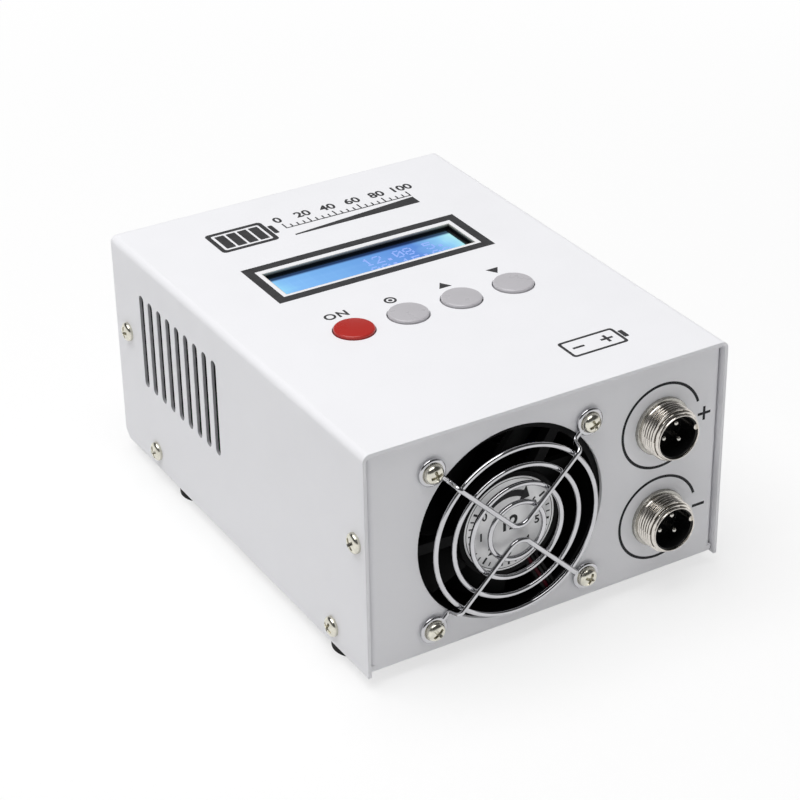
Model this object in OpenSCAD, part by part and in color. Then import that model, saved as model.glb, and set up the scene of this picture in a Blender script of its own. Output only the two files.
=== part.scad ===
// Bench battery capacity tester: a white sheet metal case with a display and four keys on top,
// a 60 mm fan behind a wire guard and two round three-pin sockets on the front panel.
// All lengths are millimetres. X runs to the right along the front panel, Y to the back and Z up.
// The origin lies at floor level, under the middle of the whole object.

/* [Case] */
// Width across the side walls
case_w = 117; // [114:0.5:140]
// Depth from the front edge of the cover to its rear edge
case_d = 154; // [152:0.5:190]
// Sheet thickness of the cover
cover_t = 1; // [0.8:0.1:1.4]
// Sheet thickness of the chassis
chassis_t = 1.2; // [0.8:0.1:1.6]
// Outside radius of the cover's two long bends
cover_bend_r = 2.2; // [1.8:0.1:4]
// Outside radius of the chassis bends
chassis_bend_r = 2; // [1.8:0.1:3]
// How far both end panels stand back from the cover's edges
panel_inset = 1; // [0.5:0.1:2]
// Clearance between the chassis and each side wall of the cover
side_gap = 0.4; // [0.2:0.1:0.8]
// Clearance between the end panels and the cover's top
top_gap = 0.2; // [0.1:0.05:0.6]
// Depth of the side flanges on both end panels
panel_flange = 12; // [11:0.5:15]
// Height of the upturned flanges along the chassis floor
floor_flange = 10.5; // [9.5:0.5:12]
// Relief notch between neighbouring flanges
flange_relief = 0.8; // [0.5:0.1:2]
// Chamfer on the cover's lower rear corners
corner_chamfer = 2.5; // [1:0.5:5]

/* [Side vents] */
// Number of vent slots in each side wall
vent_count = 9; // [3:1:11]
// Distance between neighbouring vent slots
vent_pitch = 6; // [4.5:0.5:6.5]
// Width of one vent slot
vent_w = 3; // [2:0.5:4]
// Length of one vent slot with its round ends
vent_l = 31.3; // [20:0.1:36]
// Height of the middle of the slots above the chassis floor
vent_z = 42.3; // [40:0.1:45]
// Distance from the cover's rear edge to the last slot
vent_rear = 19.7; // [19:0.1:25]

/* [Cover screws] */
// Shank radius of the cover screws
m3_r = 1.5; // [1.25:0.25:1.5]
// Length of the cover screws under the head
cover_screw_l = 5; // [4:0.5:5]
// Head radius of the M3 screws
m3_head_r = 3; // [2.6:0.1:3.2]
// Head height of the M3 screws
m3_head_h = 2; // [1.6:0.1:2.4]
// Distance of the front upper screw from the cover's front edge
screw_front_y = 5.2; // [5:0.1:8]
// Distance of the rear upper screw from the cover's rear edge
screw_rear_y = 8.6; // [6:0.1:9]
// Height of the upper screws
screw_high_z = 41; // [30:0.5:50]
// Distance of the front lower screw from the cover's front edge
screw_low_front_y = 19.3; // [18:0.1:30]
// Distance of the rear lower screw from the cover's rear edge
screw_low_rear_y = 24; // [18:0.5:34]
// Height of the lower screws
screw_low_z = 6; // [5.5:0.1:7]
// Extra radius of the holes in the cover over the screws
screw_hole_gap = 0.2; // [0.1:0.05:0.4]

/* [Feet] */
// Height of the rubber feet
foot_h = 4; // [3:0.5:8]
// Radius of a foot where it meets the case
foot_top_r = 6.2; // [5.5:0.1:6.4]
// Radius of a foot on the ground
foot_low_r = 5.6; // [5:0.1:6.2]
// Distance of a foot's middle from the cover's side
foot_side = 8; // [8:0.1:14]
// Distance of the front feet from the cover's front edge
foot_front = 21; // [12:0.5:30]
// Distance of the rear feet from the cover's rear edge
foot_rear = 37.5; // [30:0.5:45]
// Depth of the screw recess in the foot's underside
foot_recess = 2.2; // [2:0.1:2.4]

/* [Fan] */
// Width and height of the fan's frame
fan_size = 60; // [54:0.5:61]
// Depth of the fan
fan_depth = 25; // [20:0.5:26]
// Distance of the mounting holes from the frame's edges
fan_hole_inset = 5; // [4.8:0.1:5.2]
// Thinnest wall between the duct and the frame's sides
fan_edge_t = 1.2; // [1:0.1:2]
// Wall of the duct between the flanges
fan_wall = 1.4; // [1:0.1:2]
// Thickness of the two mounting flanges
fan_flange_t = 4; // [3:0.5:5]
// Corner radius of the frame
fan_corner_r = 3; // [2:0.5:4]
// Share of the front panel's spare width that lies to the left of the fan
fan_share = 0.401; // [0.38:0.001:0.46]
// Height of the fan's lower edge above the chassis underside
fan_low = 3.4; // [3.2:0.1:5]
// Height of the case above the fan's upper edge
fan_headroom = 6.6; // [6:0.1:20]
// Extra radius of the front panel's opening over the duct
fan_hole_gap = 1; // [0.9:0.1:1.2]
// How far the opening's middle lies to the right of the fan's axis
fan_hole_right = 0.5; // [0:0.1:0.5]
// How far the opening's middle lies above the fan's axis
fan_hole_up = 0.7; // [0:0.1:0.7]
// Number of struts that hold the fan's stator
strut_count = 3; // [3:1:5]
// Width of a strut
strut_w = 3.2; // [2:0.1:4]
// Depth of a strut
strut_d = 3; // [2:0.1:4]
// How far the motor's base stands out of the frame's front face
base_rise = 0.8; // [0:0.1:0.9]
// Direction of the strut that carries the leads, in degrees
strut_turn = -61; // [-75:1:-50]
// Radius of the rotor's hub
hub_r = 16; // [14:0.1:17]
// Wall of the rotor's hub
hub_t = 1.3; // [1:0.1:1.5]
// Number of blades
blade_count = 7; // [5:1:9]
// Width of a blade from its leading to its trailing edge
blade_chord = 24; // [18:0.5:25]
// Pitch of a blade against the plane of rotation, in degrees
blade_pitch = 40; // [30:1:44]
// Radius of a blade's camber
blade_camber_r = 26; // [22:1:40]
// Thickness of a blade
blade_t = 1.2; // [0.8:0.1:1.6]
// Running gap between the blade tips and the duct
tip_gap = 0.6; // [0.5:0.1:1]
// Running gap between the rotor and the struts
rotor_gap = 1.5; // [0.8:0.1:2]
// Distance of the hub's closed end from the frame's rear face
rotor_rear = 1; // [0.5:0.1:2]
// Wall of the boss that holds the shaft in the hub
boss_wall = 2.5; // [2:0.1:3]
// Height of that boss over the hub's closed end
boss_h = 3; // [2:0.1:4]
// Radius of the fan's shaft
shaft_r = 1.5; // [1:0.1:2]
// Running clearance of the shaft in its bearing
bearing_gap = 0.05; // [0.02:0.01:0.08]
// Wall of the bearing bush
bearing_t = 1; // [0.8:0.1:1.5]
// Wall of the tube that holds the bearing
bearing_tube_t = 0.9; // [0.8:0.1:1.5]
// Thickness of the magnet ring in the hub
magnet_t = 1.5; // [1:0.1:2]
// Air gap between the stator and the magnet ring
stator_gap = 0.8; // [0.5:0.1:1.2]
// Radius of a winding window in the stator
stator_window_r = 2.9; // [2.5:0.1:2.9]
// Distance of the winding windows from the shaft
stator_window_x = 7.8; // [7.8:0.1:8]
// Width of the slot from a window to the stator's edge
stator_slot_w = 1.6; // [1:0.1:2]
// Radius of the round label on the stator
fan_label_r = 14.5; // [13:0.1:15]
// Thickness of the label
fan_label_t = 0.3; // [0.2:0.05:0.5]
// Diameter of the fan's leads
fan_lead_d = 1.2; // [1:0.1:1.4]

/* [Fan guard] */
// Diameter of the guard's wire
guard_wire_d = 1.5; // [1.5:0.1:1.7]
// Number of rings
guard_rings = 4; // [3:1:4]
// Distance of the largest ring from the fan's edges
guard_edge = 4.2; // [3.6:0.1:5]
// Distance between neighbouring rings
guard_pitch = 5.7; // [5:0.1:6.5]
// Height of the rings' wire axis over the front panel
guard_ring_h = 3.5; // [3:0.1:5]
// Gap between the bars and the rings that they are spot-welded to
guard_weld_gap = 0.02; // [0.02:0.01:0.05]
// Bend radius of a bar at its apex
guard_apex_r = 4; // [3:0.1:6]
// Distance of a bar's straight lines from the guard's middle at their crossing
guard_apex_z = 0.75; // [0.6:0.05:1.5]
// Bend radius where a bar turns back to the panel
guard_elbow_r = 1.4; // [1.2:0.1:1.6]
// Slope of a bar on its way back to the panel, in degrees
guard_slope = 75; // [70:1:80]
// Straight end of a bar between its last bend and the loop
guard_foot_l = 2.1; // [1.9:0.1:2.2]
// Radius of the loops round the screws, to the wire's axis
guard_loop_r = 3.45; // [3.4:0.05:3.5]
// Radius of the holes for the fan screws
fan_hole_r = 2.2; // [1.8:0.1:2.2]
// Head radius of the fan screws
fan_head_r = 2.8; // [2.8:0.1:3]
// Head height of the fan screws
fan_head_h = 2.2; // [2:0.1:2.4]
// How far a fan screw stands out of its nut
screw_end = 1; // [0.5:0.1:1.5]

/* [Battery sockets] */
// Radius of the threaded barrel
socket_r = 8; // [8:0.1:8.2]
// How far the barrel stands out of the front panel
socket_out = 8.4; // [8:0.1:12]
// How far the barrel reaches behind the front panel
socket_in = 9; // [8:0.5:12]
// Radius of the flange on the panel
socket_flange_r = 8.8; // [8.7:0.1:10]
// Thickness of the flange
socket_flange_t = 1.2; // [1:0.1:2]
// Bore of the barrel, as a radius
socket_bore_r = 6.5; // [6.4:0.05:6.6]
// Chamfer at the barrel's rim
socket_chamfer = 1; // [0.4:0.1:1.1]
// Wall of the insulating sleeve in the barrel
sleeve_t = 0.3; // [0.3:0.05:0.4]
// Height of the insulator's face over the front panel
insert_h = 1; // [0:0.1:2]
// Depth of the sleeve's edge below the rim
sleeve_recess = 0.7; // [0.4:0.1:1.5]
// Radius of a contact pin
pin_r = 0.9; // [0.7:0.05:0.9]
// Radius of the circle that the pins stand on
pin_circle_r = 3.2; // [3.1:0.05:3.3]
// Depth of the pin tips below the rim
pin_recess = 2.4; // [2:0.1:4]
// Turn of the keyway against the horizontal, in degrees
socket_turn = 12; // [8:1:16]
// Radius of the key rib in the bore
key_r = 0.9; // [0.6:0.1:1]
// Share of the front panel's spare width between the fan and the sockets
socket_share = 0.281; // [0.24:0.001:0.3]
// Distance between the two sockets
socket_pitch = 30; // [26:0.5:32]
// Width across flats of the socket nuts
socket_nut_af = 19; // [18.5:0.5:20]
// Thickness of the socket nuts
socket_nut_h = 2.5; // [2:0.1:4]
// Diameter of the battery leads
battery_lead_d = 3; // [2:0.5:3.5]

/* [Display] */
// Width of the window in the cover
window_w = 64.7; // [60:0.1:66]
// Depth of the window in the cover, front to back
window_d = 15.5; // [12:0.1:17]
// Distance of the window and the keys from the middle of the case
top_offset_x = 0.6; // [0:0.1:1.5]
// Distance of the window's middle from the cover's rear edge
window_rear = 55.6; // [54:0.1:60]
// How far the display stands to the left of the window's middle
display_left = 0.75; // [0:0.05:1]
// How far the display stands in front of the window's middle
display_front = 0.25; // [0:0.05:0.5]
// Width of the display's metal bezel
bezel_w = 71.2; // [70:0.1:72]
// Depth of the display's metal bezel, front to back
bezel_d = 24.2; // [22:0.1:25]
// Height of the display's metal bezel
bezel_h = 5.2; // [4.5:0.1:5.4]
// Sheet thickness of the bezel
bezel_t = 0.5; // [0.4:0.05:0.6]
// Width of the opening in the bezel
view_w = 64.5; // [62:0.1:66]
// Depth of the opening in the bezel, front to back
view_d = 16.4; // [14:0.1:18]
// Gap between the bezel and the cover
bezel_gap = 1; // [0.5:0.05:1.2]
// Depth of the glass below the bezel's top
glass_recess = 1; // [0.6:0.05:1.2]
// Thickness of the display's glass
glass_t = 2.8; // [2:0.1:3]
// Width of the display's circuit board
display_board_w = 80; // [78:0.5:80]
// Depth of the display's circuit board, front to back
display_board_d = 36; // [34:0.5:36]
// Height of the pin header under the display's circuit board
header_h = 2.5; // [2.5:0.1:3.5]

/* [Keys] */
// Number of keys
key_count = 4; // [4:1:4]
// Distance between neighbouring keys
key_pitch = 17.75; // [16.5:0.05:18.5]
// Radius of a key cap
key_cap_r = 6; // [5.5:0.1:6.2]
// How far a key cap stands out of the cover
key_out = 1.2; // [0.8:0.1:2]
// Rise of the crown on a key cap
key_crown = 0.25; // [0.1:0.05:0.4]
// Rounding of a key cap's edge
key_round = 0.6; // [0.3:0.1:0.8]
// Gap between a key cap and its hole
key_gap = 0.3; // [0.25:0.05:0.4]
// Travel of a key
key_travel = 0.35; // [0.25:0.05:0.5]
// Distance of the keys from the cover's rear edge
key_rear = 92.9; // [92.5:0.1:94]
// Radius of the collar that keeps a cap under the cover
key_collar_r = 6.9; // [6.7:0.1:7]
// Thickness of the collar
key_collar_t = 1; // [0.8:0.1:1.2]
// Rest gap between the collar and the cover
key_rest_gap = 0.4; // [0.3:0.05:0.5]
// Width of a key switch
switch_w = 12; // [11:0.5:12]
// Height of a key switch's body
switch_h = 3.6; // [3.2:0.1:4]
// Width of the plunger in a key switch
plunger_w = 3.8; // [3:0.1:4]

/* [Circuit boards] */
// Thickness of the circuit boards
pcb_t = 1.6; // [1.2:0.1:1.8]
// Gap between the display's board and the studs beside it
stud_gap = 0.8; // [0.5:0.1:1.5]
// Margin of the keys' board round the keys and the display
panel_board_margin = 4; // [4:0.5:6]
// Inset of the mounting holes from a board's edges
board_hole_inset = 3.5; // [3:0.1:4]
// Length of the screws that hold the main board and the transistors
inner_screw_l = 7; // [6:0.5:7]
// Height of the standoffs under the main board
standoff_h = 6; // [6:0.5:8]
// Width across flats of the standoffs
standoff_af = 5.5; // [5:0.1:6]
// Gap between the main board and the chassis flanges
board_side_gap = 3.6; // [3:0.1:5]
// Gap between the fan's nuts and the main board
board_front_gap = 2.8; // [1.5:0.1:5]
// Gap between the main board and the rear panel
board_rear_gap = 4.2; // [3.5:0.1:6]
// Width of the flat cable between the two boards
ribbon_w = 20; // [10:0.5:24]
// Thickness of the flat cable
ribbon_t = 1; // [0.8:0.1:1.2]
// How far the flat cable bows out between its plugs
ribbon_bow = 3; // [2:0.1:4]
// Height and depth of the flat cable's plugs
ribbon_plug = 5; // [4:0.1:6]

/* [Power stage] */
// Gap between the heat sink and the capacitors on its left
sink_gap = 1.1; // [0.6:0.1:3]
// Gap between the heat sink and the choke, where the transistors stand
sink_choke_gap = 7; // [6.8:0.1:9]
// Length of the heat sink along the air stream
sink_l = 60; // [50:0.5:62]
// Height of the heat sink
sink_h = 41; // [36:0.5:42]
// Thickness of the heat sink's base
sink_base_t = 5; // [4:0.5:7]
// Number of fins
fin_count = 9; // [7:1:11]
// Thickness of a fin
fin_t = 1.6; // [1.2:0.1:2]
// Width of a power transistor
transistor_w = 15.8; // [15:0.1:16]
// Height of a power transistor's body
transistor_h = 21; // [20:0.5:22]
// Thickness of a power transistor
transistor_t = 5; // [4:0.1:5.2]
// Height of a transistor's body above the main board
transistor_up = 6; // [5:0.5:8]
// Number of power transistors
transistor_count = 2; // [1:1:2]
// Distance between the power transistors
transistor_pitch = 26; // [20:0.5:30]
// Outside radius of the storage choke
choke_r = 13; // [11:0.5:13.5]
// Inside radius of the choke's bare core
choke_bore_r = 7; // [6:0.1:7.5]
// Height of the choke's bare core
choke_h = 9; // [7:0.5:11]
// Diameter of the choke's wire
choke_wire_d = 1.3; // [1:0.1:1.5]
// Number of turns on the choke
choke_turns = 14; // [8:1:16]
// Radius of a storage capacitor
capacitor_r = 5; // [4:0.5:5]
// Height of a storage capacitor
capacitor_h = 20; // [16:0.5:25]
// Number of storage capacitors
capacitor_count = 3; // [1:1:4]
// Width of the relay
relay_w = 15.4; // [12:0.1:16]
// Depth of the relay, front to back
relay_d = 19; // [16:0.5:20]
// Height of the relay
relay_h = 15.2; // [12:0.1:20]

/* [Rear panel] */
// Radius of the power jack's barrel
jack_r = 5.9; // [5:0.1:6]
// Radius of the power jack's flange
jack_flange_r = 7; // [6.8:0.1:8]
// Thickness of the power jack's flange
jack_flange_t = 2; // [1.5:0.1:3]
// Reach of the power jack behind the rear panel
jack_l = 16; // [12:0.5:20]
// Bore of the power jack, as a radius
jack_bore_r = 3.2; // [2.75:0.05:3.2]
// Depth of the power jack's bore
jack_bore_l = 10; // [8:0.5:11]
// Radius of the power jack's centre contact
jack_pin_r = 1.05; // [0.8:0.05:1.25]
// Distance of the power jack from the cover's left side, seen from the front
jack_left = 26; // [24:0.5:40]
// Height of the power jack above the chassis underside
jack_z = 30; // [28:0.5:45]
// Width across flats of the power jack's nut
jack_nut_af = 14; // [13:0.5:15]
// Width of the data port
port_w = 8; // [7:0.1:9]
// Height of the data port
port_h = 4; // [3:0.1:5]
// Depth of the data port
port_l = 9.5; // [8:0.5:12]
// Distance of the data port from the cover's right side
port_right = 48; // [40:0.5:55]

/* [Hidden] */
$fn = 64;

// Overshoot of cutting bodies past the faces that they cut
cut = 1;
// Clearance between pieces that seat in each other
seat_gap = 0.05;

// Chassis
chassis_w = case_w - 2 * (cover_t + side_gap);
case_h = fan_low + fan_size + fan_headroom;
panel_top = case_h - cover_t - top_gap;
ceiling_z = case_h - cover_t;
rear_inner_y = case_d - panel_inset - chassis_t;
floor_flange_y = panel_inset + panel_flange + flange_relief;
floor_flange_l = case_d - 2 * floor_flange_y;
panel_flange_z = chassis_bend_r + flange_relief;
panel_flange_h = panel_top - panel_flange_z - flange_relief;

// Reach of the object past the cover's front and rear edges, and the front edge's place
front_reach = socket_out - panel_inset;
rear_reach = jack_flange_t - panel_inset;
front_y = (front_reach - rear_reach - case_d) / 2;

// Places on the panels and the top, with X from the middle of the case
spare_w = case_w - fan_size - 2 * socket_flange_r;
fan_x = fan_share * spare_w + fan_size / 2 - case_w / 2;
fan_z = fan_low + fan_size / 2;
fan_hole_xy = [fan_x + fan_hole_right, fan_z + fan_hole_up];
socket_x = fan_x + fan_size / 2 + socket_share * spare_w + socket_flange_r;
positive_z = fan_hole_xy[1] + socket_pitch / 2;
negative_z = fan_hole_xy[1] - socket_pitch / 2;
jack_x = jack_left - case_w / 2;
port_x = case_w / 2 - port_right;
window_y = case_d - window_rear;
display_x = top_offset_x - display_left;
display_y = window_y - display_front;
key_y = case_d - key_rear;
key_xs = [for (i = [0:key_count - 1]) top_offset_x + (i - (key_count - 1) / 2) * key_pitch];
foot_xy = [for (x = [-1, 1], y = [foot_front, case_d - foot_rear]) [x * (case_w / 2 - foot_side), y]];

// Cover screws, as distance from the front edge and height
cover_screw_yz = [[screw_front_y, screw_high_z], [case_d - screw_rear_y, screw_high_z],
    [screw_low_front_y, screw_low_z], [case_d - screw_low_rear_y, screw_low_z]];

// Nuts and screw ends of the M3 fasteners
m3_nut_af = 5.5;
m3_nut_h = 2.4;
m3_end = 0.6;

// Fan, with heights counted from its rear face
fan_pitch = fan_size - 2 * fan_hole_inset;
fan_bore_r = fan_size / 2 - fan_edge_t;
rotor_h = fan_depth - strut_d - rotor_gap - rotor_rear;
rotor_mid = rotor_rear + rotor_h / 2;
tip_r = fan_bore_r - tip_gap;
blade_rise = blade_camber_r - sqrt(pow(blade_camber_r, 2) - pow(blade_chord / 2, 2));
bearing_r = shaft_r + bearing_gap + bearing_t;
tube_r = bearing_r + seat_gap + bearing_tube_t;
boss_r = shaft_r + boss_wall;
boss_top = rotor_rear + hub_t + boss_h;
tube_low = boss_top + 1;
base_z = fan_depth - strut_d;
magnet_r = hub_r - hub_t - seat_gap;
stator_r = magnet_r - magnet_t - stator_gap;
stator_low = tube_low + 1;
stator_h = base_z - 1 - stator_low;
stator_poles = 4;
groove_w = 2 * fan_lead_d + 4 * seat_gap;
groove_d = fan_lead_d + fan_label_t + 2 * seat_gap;
groove_wall = 0.8;
groove_start = hub_r - 4;
groove_bend = hub_r + 4;
label_low = fan_depth + base_rise - fan_label_t;
frame_edge = fan_size / 2 / abs(sin(strut_turn));

// Fan guard
wire_r = guard_wire_d / 2;
fan_head_z = wire_r + sqrt(max(0, pow(wire_r, 2) - pow(guard_loop_r - fan_head_r, 2))) + seat_gap;
guard_outer_r = fan_size / 2 - guard_edge;
wire_ease = 0.02;
wire_lap = 0.15;
guard_bar_h = guard_ring_h + guard_wire_d + guard_weld_gap;
elbow_fall = guard_elbow_r * (1 - cos(guard_slope));
elbow_run = guard_elbow_r * sin(guard_slope);
slope_l = (guard_bar_h - wire_r - 2 * elbow_fall) / sin(guard_slope);
loop_start = (fan_pitch / 2 + fan_pitch / 2 - guard_apex_z) / sqrt(2) - guard_loop_r;
bar_end = loop_start - guard_foot_l - 2 * elbow_run - slope_l * cos(guard_slope);

// Sockets, with heights counted from the front panel
socket_hole_gap = 0.15;
insert_r = socket_bore_r - seat_gap;
sleeve_r = insert_r - sleeve_t;
cup_r = pin_r + 0.5;
cup_l = 4;
insert_low = -socket_in - 1;
pin_angles = [for (i = [0:2]) socket_turn + 60 + i * 120];
lead_pin = [cos(pin_angles[0]), sin(pin_angles[0])] * pin_circle_r;

// Display, keys and their board
bezel_top = ceiling_z - bezel_gap;
display_board_z = bezel_top - bezel_h - pcb_t;
glass_top = bezel_top - glass_recess;
glass_w = bezel_w - 2 * (bezel_t + seat_gap);
glass_d = bezel_d - 2 * (bezel_t + seat_gap);
collar_top = ceiling_z - key_rest_gap;
collar_low = collar_top - key_collar_t;
cap_h = case_h + key_out - collar_low;
cap_top_t = 1.6;
cap_wall = 1.2;
cap_boss_r = plunger_w / sqrt(2) + 0.7;
panel_board_z = display_board_z - header_h - pcb_t;
switch_low = panel_board_z + pcb_t;
switch_top = switch_low + switch_h;
stud_shoulder_r = 2.2;
panel_board_w = 2 * (display_left + display_board_w / 2 + stud_gap + stud_shoulder_r + board_hole_inset);
panel_board_y = key_y - switch_w / 2 - panel_board_margin;
panel_board_d = display_y + display_board_d / 2 + panel_board_margin - panel_board_y;
plunger_play = 0.4;
plunger_sink = 2;
plunger_grip = 2.6;
stud_r = 1.25;
stud_end = 0.8;
stud_nut_af = 5;
stud_nut_h = 2;
stud_xy = [for (x = [-1, 1], y = [board_hole_inset, panel_board_d - board_hole_inset])
    [top_offset_x + x * (panel_board_w / 2 - board_hole_inset), panel_board_y + y]];
header_w = 40.6;
header_d = 2.5;

// Main board and what stands on it
board_z = chassis_t + standoff_h;
board_top = board_z + pcb_t;
board_w = chassis_w - 2 * (chassis_t + board_side_gap);
board_y = panel_inset + chassis_t + fan_depth + m3_nut_h + screw_end + board_front_gap;
board_d = rear_inner_y - board_rear_gap - board_y;
board_hole_xy = [for (x = [-1, 1], y = [board_hole_inset, board_d - board_hole_inset])
    [x * (board_w / 2 - board_hole_inset), board_y + y]];
plug_w = 6;
plug_d = 5;
plug_h = 5;
plug_inset = 1;
plug_y = board_y + plug_inset;
plug_x = fan_x + cos(strut_turn) * (frame_edge + fan_lead_d);
capacitor_inset = 1;
capacitor_x = capacitor_inset + capacitor_r - board_w / 2;
capacitor_front = 18;
capacitor_y = board_y + capacitor_front;
capacitor_gap = 2;
sink_front = 8;
sink_right = socket_x - choke_r - choke_wire_d - sink_choke_gap;
sink_w = sink_right - capacitor_x - capacitor_r - sink_gap;
sink_y = board_y + sink_front;
fin_pitch = (sink_h - fin_t) / (fin_count - 1);
transistor_low = board_top + transistor_up;
transistor_ys = [for (i = [0:transistor_count - 1])
    sink_y + sink_l / 2 + (i - (transistor_count - 1) / 2) * transistor_pitch];
transistor_hole_low = 4.5;
transistor_hole_z = transistor_low + transistor_h - transistor_hole_low;
terminal_w = 8;
terminal_h = 8;
terminal_front = 12;
terminal_y = board_y + terminal_front;
terminal_gap = 4;
terminal_xs = [for (side = [1, -1]) socket_x + side * (terminal_w + terminal_gap) / 2];
relay_gap = 7;
relay_y = terminal_y + terminal_w / 2 + relay_gap;
ribbon_gap = 5;
ribbon_y = relay_y + relay_d + ribbon_gap;
choke_gap = 8;
choke_y = ribbon_y + choke_r + choke_gap;
chip_w = 10;
chip_h = 1.4;
chip_legs = 8;
chip_y = (sink_y + sink_l + board_y + board_d) / 2;

// Power jack and ribbon
jack_tab_l = 4;
jack_end_y = case_d - panel_inset - jack_l - jack_tab_l;
jack_lead_d = 1.6;
ribbon_steps = 12;
ribbon_turn = 180 / ribbon_steps;
ribbon_frame = 1;

// Routes of the leads, in the case's own frame
fan_front_y = panel_inset + chassis_t;
fan_rear_y = fan_front_y + fan_depth;
groove_y = fan_front_y + fan_label_t + seat_gap + fan_lead_d / 2;
plug_z = board_top + plug_h / 2;
function fan_route(i) = let (
    along = [cos(strut_turn), sin(strut_turn)],
    apart = (i - 0.5) * (fan_lead_d + 2 * seat_gap),
    side = [-along[1], along[0]] * apart,
    out = [for (r = [groove_start, groove_bend, fan_bore_r, frame_edge + fan_lead_d / 2])
        [fan_x, fan_z] + r * along + side],
    low_x = plug_x + apart,
    low_z = fan_low - fan_lead_d)
    [[out[0][0], groove_y, out[0][1]], [out[1][0], groove_y, out[1][1]], [out[2][0], groove_y, out[2][1]],
    [out[3][0], groove_y + 0.1, out[3][1]], [low_x, groove_y + 3, low_z], [low_x, fan_rear_y - 5, low_z],
    [low_x, fan_rear_y + 1, low_z], [low_x, board_y - 3, (low_z + plug_z) / 2],
    [low_x, plug_y - 1.5, plug_z], [low_x, plug_y - seat_gap, plug_z]];
function battery_route(z, x) = let (start = [socket_x + lead_pin[0],
    panel_inset - insert_low + cup_l + seat_gap, z + lead_pin[1]])
    [start, start + [0, 5, 0], [(start[0] + x) / 2, start[1] + 12, (start[2] + board_top) / 2 + 8],
    [x, terminal_y - 4, board_top + terminal_h + 12], [x, terminal_y, board_top + terminal_h + 4],
    [x, terminal_y, board_top + terminal_h + seat_gap]];
function jack_route(x) = [[x, jack_end_y - seat_gap, jack_z], [x, jack_end_y - 2, jack_z],
    [x, jack_end_y - 6, jack_z - 8], [x, jack_end_y - 6, board_top + 4], [x, jack_end_y - 6, board_top + seat_gap]];

function unit(v) = v / norm(v);
// Point of a smooth curve through the points of p, for s from 0 to the last one's number
function curve(p, s) = let (i = min(floor(s), len(p) - 2), t = s - i,
    a = p[max(i - 1, 0)], b = p[i], c = p[i + 1], d = p[min(i + 2, len(p) - 1)])
    b + t * (c - a) / 2 + pow(t, 2) * (a - 2.5 * b + 2 * c - d / 2)
    + pow(t, 3) * (1.5 * (b - c) + (d - a) / 2);
function curve_way(p, s) = unit(curve(p, min(s + 0.001, len(p) - 1)) - curve(p, max(s - 0.001, 0)));

// Moves from the case's own frame, whose origin is under the cover's front edge, to the object's
module in_case() {
    translate([0, front_y, foot_h]) children();
}

// Turns a piece so that its Z axis points out of the front panel
module on_front(x, z) {
    in_case() translate([x, panel_inset, z]) rotate([90, 0, 0]) children();
}

// Turns a piece so that its Z axis points out of the rear panel
module on_rear(x, z) {
    in_case() translate([x, case_d - panel_inset, z]) rotate([90, 0, 180]) children();
}

// Puts a piece of the fan behind the front panel, standing on the frame's rear face
module in_fan() {
    on_front(fan_x, fan_z) translate([0, 0, -chassis_t - fan_depth]) children();
}

// Sweeps an outline of distance and height along X, centred
module along_x(w) {
    translate([-w / 2, 0, 0]) rotate([90, 0, 90]) linear_extrude(w) children();
}

// Sweeps an outline of width and height along Y
module along_y(y, d) {
    translate([0, y + d, 0]) rotate([90, 0, 0]) linear_extrude(d) children();
}

// Repeats a piece as its own mirror image across the middle of the case
module on_both_sides() {
    children();
    mirror([1, 0, 0]) children();
}

// Repeats a piece of the chassis at its other end
module at_both_ends() {
    children();
    translate([0, case_d, 0]) mirror([0, 1, 0]) children();
}

// A box that stands on height z, centred on x and y
module block(x, y, z, w, d, h) {
    translate([x - w / 2, y - d / 2, z]) cube([w, d, h]);
}

module rounded_square(w, r) {
    square([w - 2 * r, w], center = true);
    square([w, w - 2 * r], center = true);
    for (x = [-1, 1], y = [-1, 1]) translate([x, y] * (w / 2 - r)) circle(r = r);
}

// A flat-bottomed outline with two round upper corners
module round_top(w, h, r) {
    translate([-w / 2, 0]) square([w, h - r]);
    translate([r - w / 2, 0]) square([w - 2 * r, h]);
    for (x = [-1, 1]) translate([x * (w / 2 - r), h - r]) circle(r = r);
}

// Section of a sheet that is bent down at both sides
module bent_channel(w, h, t, r) {
    difference() {
        round_top(w, h, r);
        translate([0, -cut]) round_top(w - 2 * t, h - t + cut, r - t);
    }
}

// Section of a right-angle flange, filleted inside, with its corner at the origin
module bent_angle(a, b, t, r) {
    square([a, t]);
    square([t, b]);
    difference() {
        square([r, r]);
        translate([r, r]) circle(r = r - t);
    }
}

// What lies outside the round of a bend whose corner is at the origin
module outside_bend(r) {
    difference() {
        translate([-cut, -cut]) square([r + cut, r + cut]);
        translate([r, r]) circle(r = r);
    }
}

module hex_ring(af, h, bore_r) {
    difference() {
        cylinder(r = af / 2 / cos(30), h = h, $fn = 6);
        translate([0, 0, -cut]) cylinder(r = bore_r, h = h + 2 * cut);
    }
}

// Pan head with a cross recess, seated on z = 0
module pan_head(r, h) {
    edge_h = h * 0.45;
    crown_r = (pow(r, 2) + pow(h - edge_h, 2)) / (2 * (h - edge_h));
    difference() {
        rotate_extrude() intersection() {
            square([r, h]);
            translate([0, h - crown_r]) circle(r = crown_r, $fn = 180);
        }
        for (a = [0, 90]) rotate([0, 0, a]) block(0, 0, h * 0.45, r * 1.1, r * 0.24, h);
    }
}

module pan_screw(r, l, head_r, head_h) {
    pan_head(head_r, head_h);
    translate([0, 0, -l]) cylinder(r = r, h = l + head_h * 0.2);
}

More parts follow.
